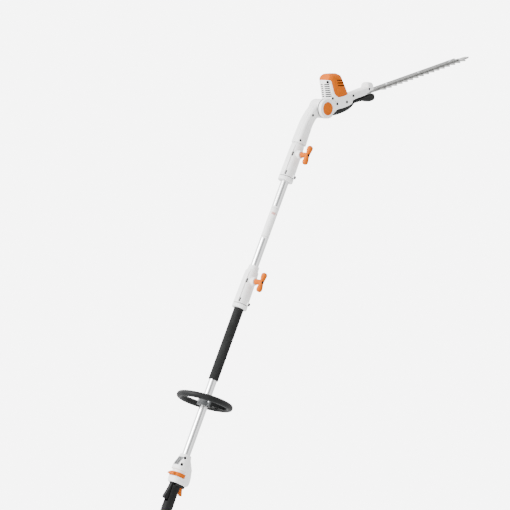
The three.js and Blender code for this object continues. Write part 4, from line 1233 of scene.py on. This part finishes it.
def blade_bolts():
    for i, x in enumerate(BLADE_BOLTS):
        shank = upright(3, x, LOWER_BLADE - 1.6, 3)
        head = upright(5.4, x, 1.95, 4.5, sides=6)
        crown = upright(5.6, x, 1.95, 5.2, 4.0)
        washer = upright(6.4, x, LOWER_BLADE - 0.35, LOWER_BLADE - 1.7, 6.1)
        shape = bevel(join(shank, overlap(head, crown), washer), 0.25, 3, 28)
        piece(shape, f"blade_bolt_{i + 1}_fine", "cutter_head", STEEL, [f"blade_bolt_{i + 1}"], HEAD, 30)


# Frame nodes that stay as they are get their own surfaces

KEPT = {
    STEEL: [
        "trigger_pin", "trigger_spring", "lower_clamp_shoe", "upper_clamp_shoe", "detent_disc", "pivot_pin",
        "crank_gear",
    ],
    DARK_STEEL: ["motor_can", "motor_rotor"],
    BLACK: ["power_switch", "battery_terminals", "rear_socket", "mid_plug", "rear_cable", "mid_cable"],
    BOARD: ["control_board"],
    CAST: ["gear_plate"],
}


def dress_kept_nodes():
    for surface, names in KEPT.items():
        for name in names:
            mesh = frame["nodes"][name].data
            mesh.materials.clear()
            mesh.materials.append(surface)
            mesh.shade_smooth()
            mesh.set_sharp_from_angle(angle=math.radians(30))


# Studio, in metres

TARGET = Vector((-6.9, 7.1, 821.5)) * MM
TO_CAMERA = Vector((-0.6431, -0.7321, -0.2250)).normalized()
CAMERA_UP = Vector((-0.3954, 0.0657, 0.9162)).normalized()
CAMERA_RIGHT = CAMERA_UP.cross(TO_CAMERA).normalized()
CAMERA_DISTANCE = 8.0
LENS = 182.2
FLOOR_HEIGHT = -1.5
FLOOR_RADIUS = 300
FLOOR_TONE = 0.82
TENT_BRIGHT = 3.8
TENT_DIM = 1.6
BRIGHT_SIDE = (-0.7, 0.65, 0.2)
BAND_SHARE = 0.25  # of the tent's light
BAND_SHIFT = 0.05  # sine of the angle to its middle
BAND_EDGE = (0.38, 0.46)  # sines of the angles where it fades out
BACKDROP_LIGHT = 7.0
KEY_POWER = 330
KEY_SIZE = 2.2
KEY_FRONT, KEY_LEFT, KEY_ABOVE = 2.0, 3.2, 1.8


def camera():
    data = bpy.data.cameras.new("camera")
    data.lens = LENS
    data.clip_end = 100
    obj = bpy.data.objects.new("camera", data)
    turn = Matrix((CAMERA_RIGHT, TO_CAMERA.cross(CAMERA_RIGHT), TO_CAMERA)).transposed()
    obj.matrix_world = Matrix.Translation(TARGET + TO_CAMERA * CAMERA_DISTANCE) @ turn.to_4x4()
    bpy.context.scene.collection.objects.link(obj)
    bpy.context.scene.camera = obj


def key_light():
    """A soft square lamp in front of the tool, to the left and above."""
    data = bpy.data.lights.new("key", "AREA")
    data.shape = "RECTANGLE"
    data.size = data.size_y = KEY_SIZE
    data.energy = KEY_POWER
    away = TO_CAMERA * KEY_FRONT - CAMERA_RIGHT * KEY_LEFT + CAMERA_UP * KEY_ABOVE
    obj = bpy.data.objects.new("key", data)
    obj.location = TARGET + away
    obj.rotation_mode = "QUATERNION"
    obj.rotation_quaternion = away.to_track_quat("Z", "Y")
    bpy.context.scene.collection.objects.link(obj)


def floor_material():
    surface, tree, shader, where = start_material("floor")
    tones = (*[FLOOR_TONE] * 3, 1), (*[FLOOR_TONE * 0.97] * 3, 1)
    tree.links.new(blend_colours(tree, noise(tree, where, 6, 3), *tones), shader.inputs["Base Color"])
    shader.inputs["Roughness"].default_value = 0.8
    return surface


def light_tent(tree):
    """White all round, brighter to the left and above, with a dim upright band in front.

    It shows behind the tool as plain white.
    """
    view = add(tree, "ShaderNodeTexCoord").outputs["Generated"]
    right, up, out = BRIGHT_SIDE
    bright = (CAMERA_RIGHT * right + CAMERA_UP * up + TO_CAMERA * out).normalized()
    front = Vector((TO_CAMERA.x, TO_CAMERA.y, 0)).normalized()
    across = Vector((-front.y, front.x, 0))

    def along(axis):
        inputs = {0: view, 1: axis}
        return add(tree, "ShaderNodeVectorMath", inputs, operation="DOT_PRODUCT").outputs["Value"]

    off_band = calc(tree, "ABSOLUTE", calc(tree, "SUBTRACT", along(across), BAND_SHIFT))
    wall = ramp(tree, along(bright), -0.8, 1.0, TENT_DIM, TENT_BRIGHT)
    band = ramp(tree, off_band, *BAND_EDGE, BAND_SHARE, 1.0)
    behind = ramp(tree, along(front), 0.0, 0.2, 1.0, 0.0)
    lit = calc(tree, "MULTIPLY", wall, calc(tree, "MAXIMUM", band, behind))
    seen = add(tree, "ShaderNodeLightPath").outputs["Is Camera Ray"]
    mixed = add(tree, "ShaderNodeMix", {0: seen, 2: lit, 3: BACKDROP_LIGHT}, data_type="FLOAT").outputs[0]
    tree.links.new(mixed, tree.nodes["Background"].inputs["Strength"])
    tree.nodes["Background"].inputs["Color"].default_value = (1, 1, 1, 1)


def studio():
    world = bpy.data.worlds.new("studio")
    world.use_nodes = True
    light_tent(world.node_tree)
    bpy.context.scene.world = world
    floor = upright(FLOOR_RADIUS / MM, 0, FLOOR_HEIGHT / MM - 20, FLOOR_HEIGHT / MM, sides=240)
    floor.name = "floor"
    floor.data.materials.append(floor_material())


for make in (
    control_housing, status_lens, vent_grille, release_slide, grip, trigger_bezel, switch_carrier,
    trigger, lockout_lever, battery_bay, battery_pack, battery_latch, shaft, foam_sleeve, ring_handle,
    couplings, neck, motor_housing, motor_hood, pivot_seal, vent_shade_sheet, belly_cover, blade_guard,
    bar_cap, pivot_button, guide_bar, blade_bolts, dress_kept_nodes, camera, studio, key_light,
):
    make()
cutting_blade("upper_blade", "blade_upper", UPPER_BLADE, 1)
cutting_blade("lower_blade", "blade_lower", LOWER_BLADE, -1)
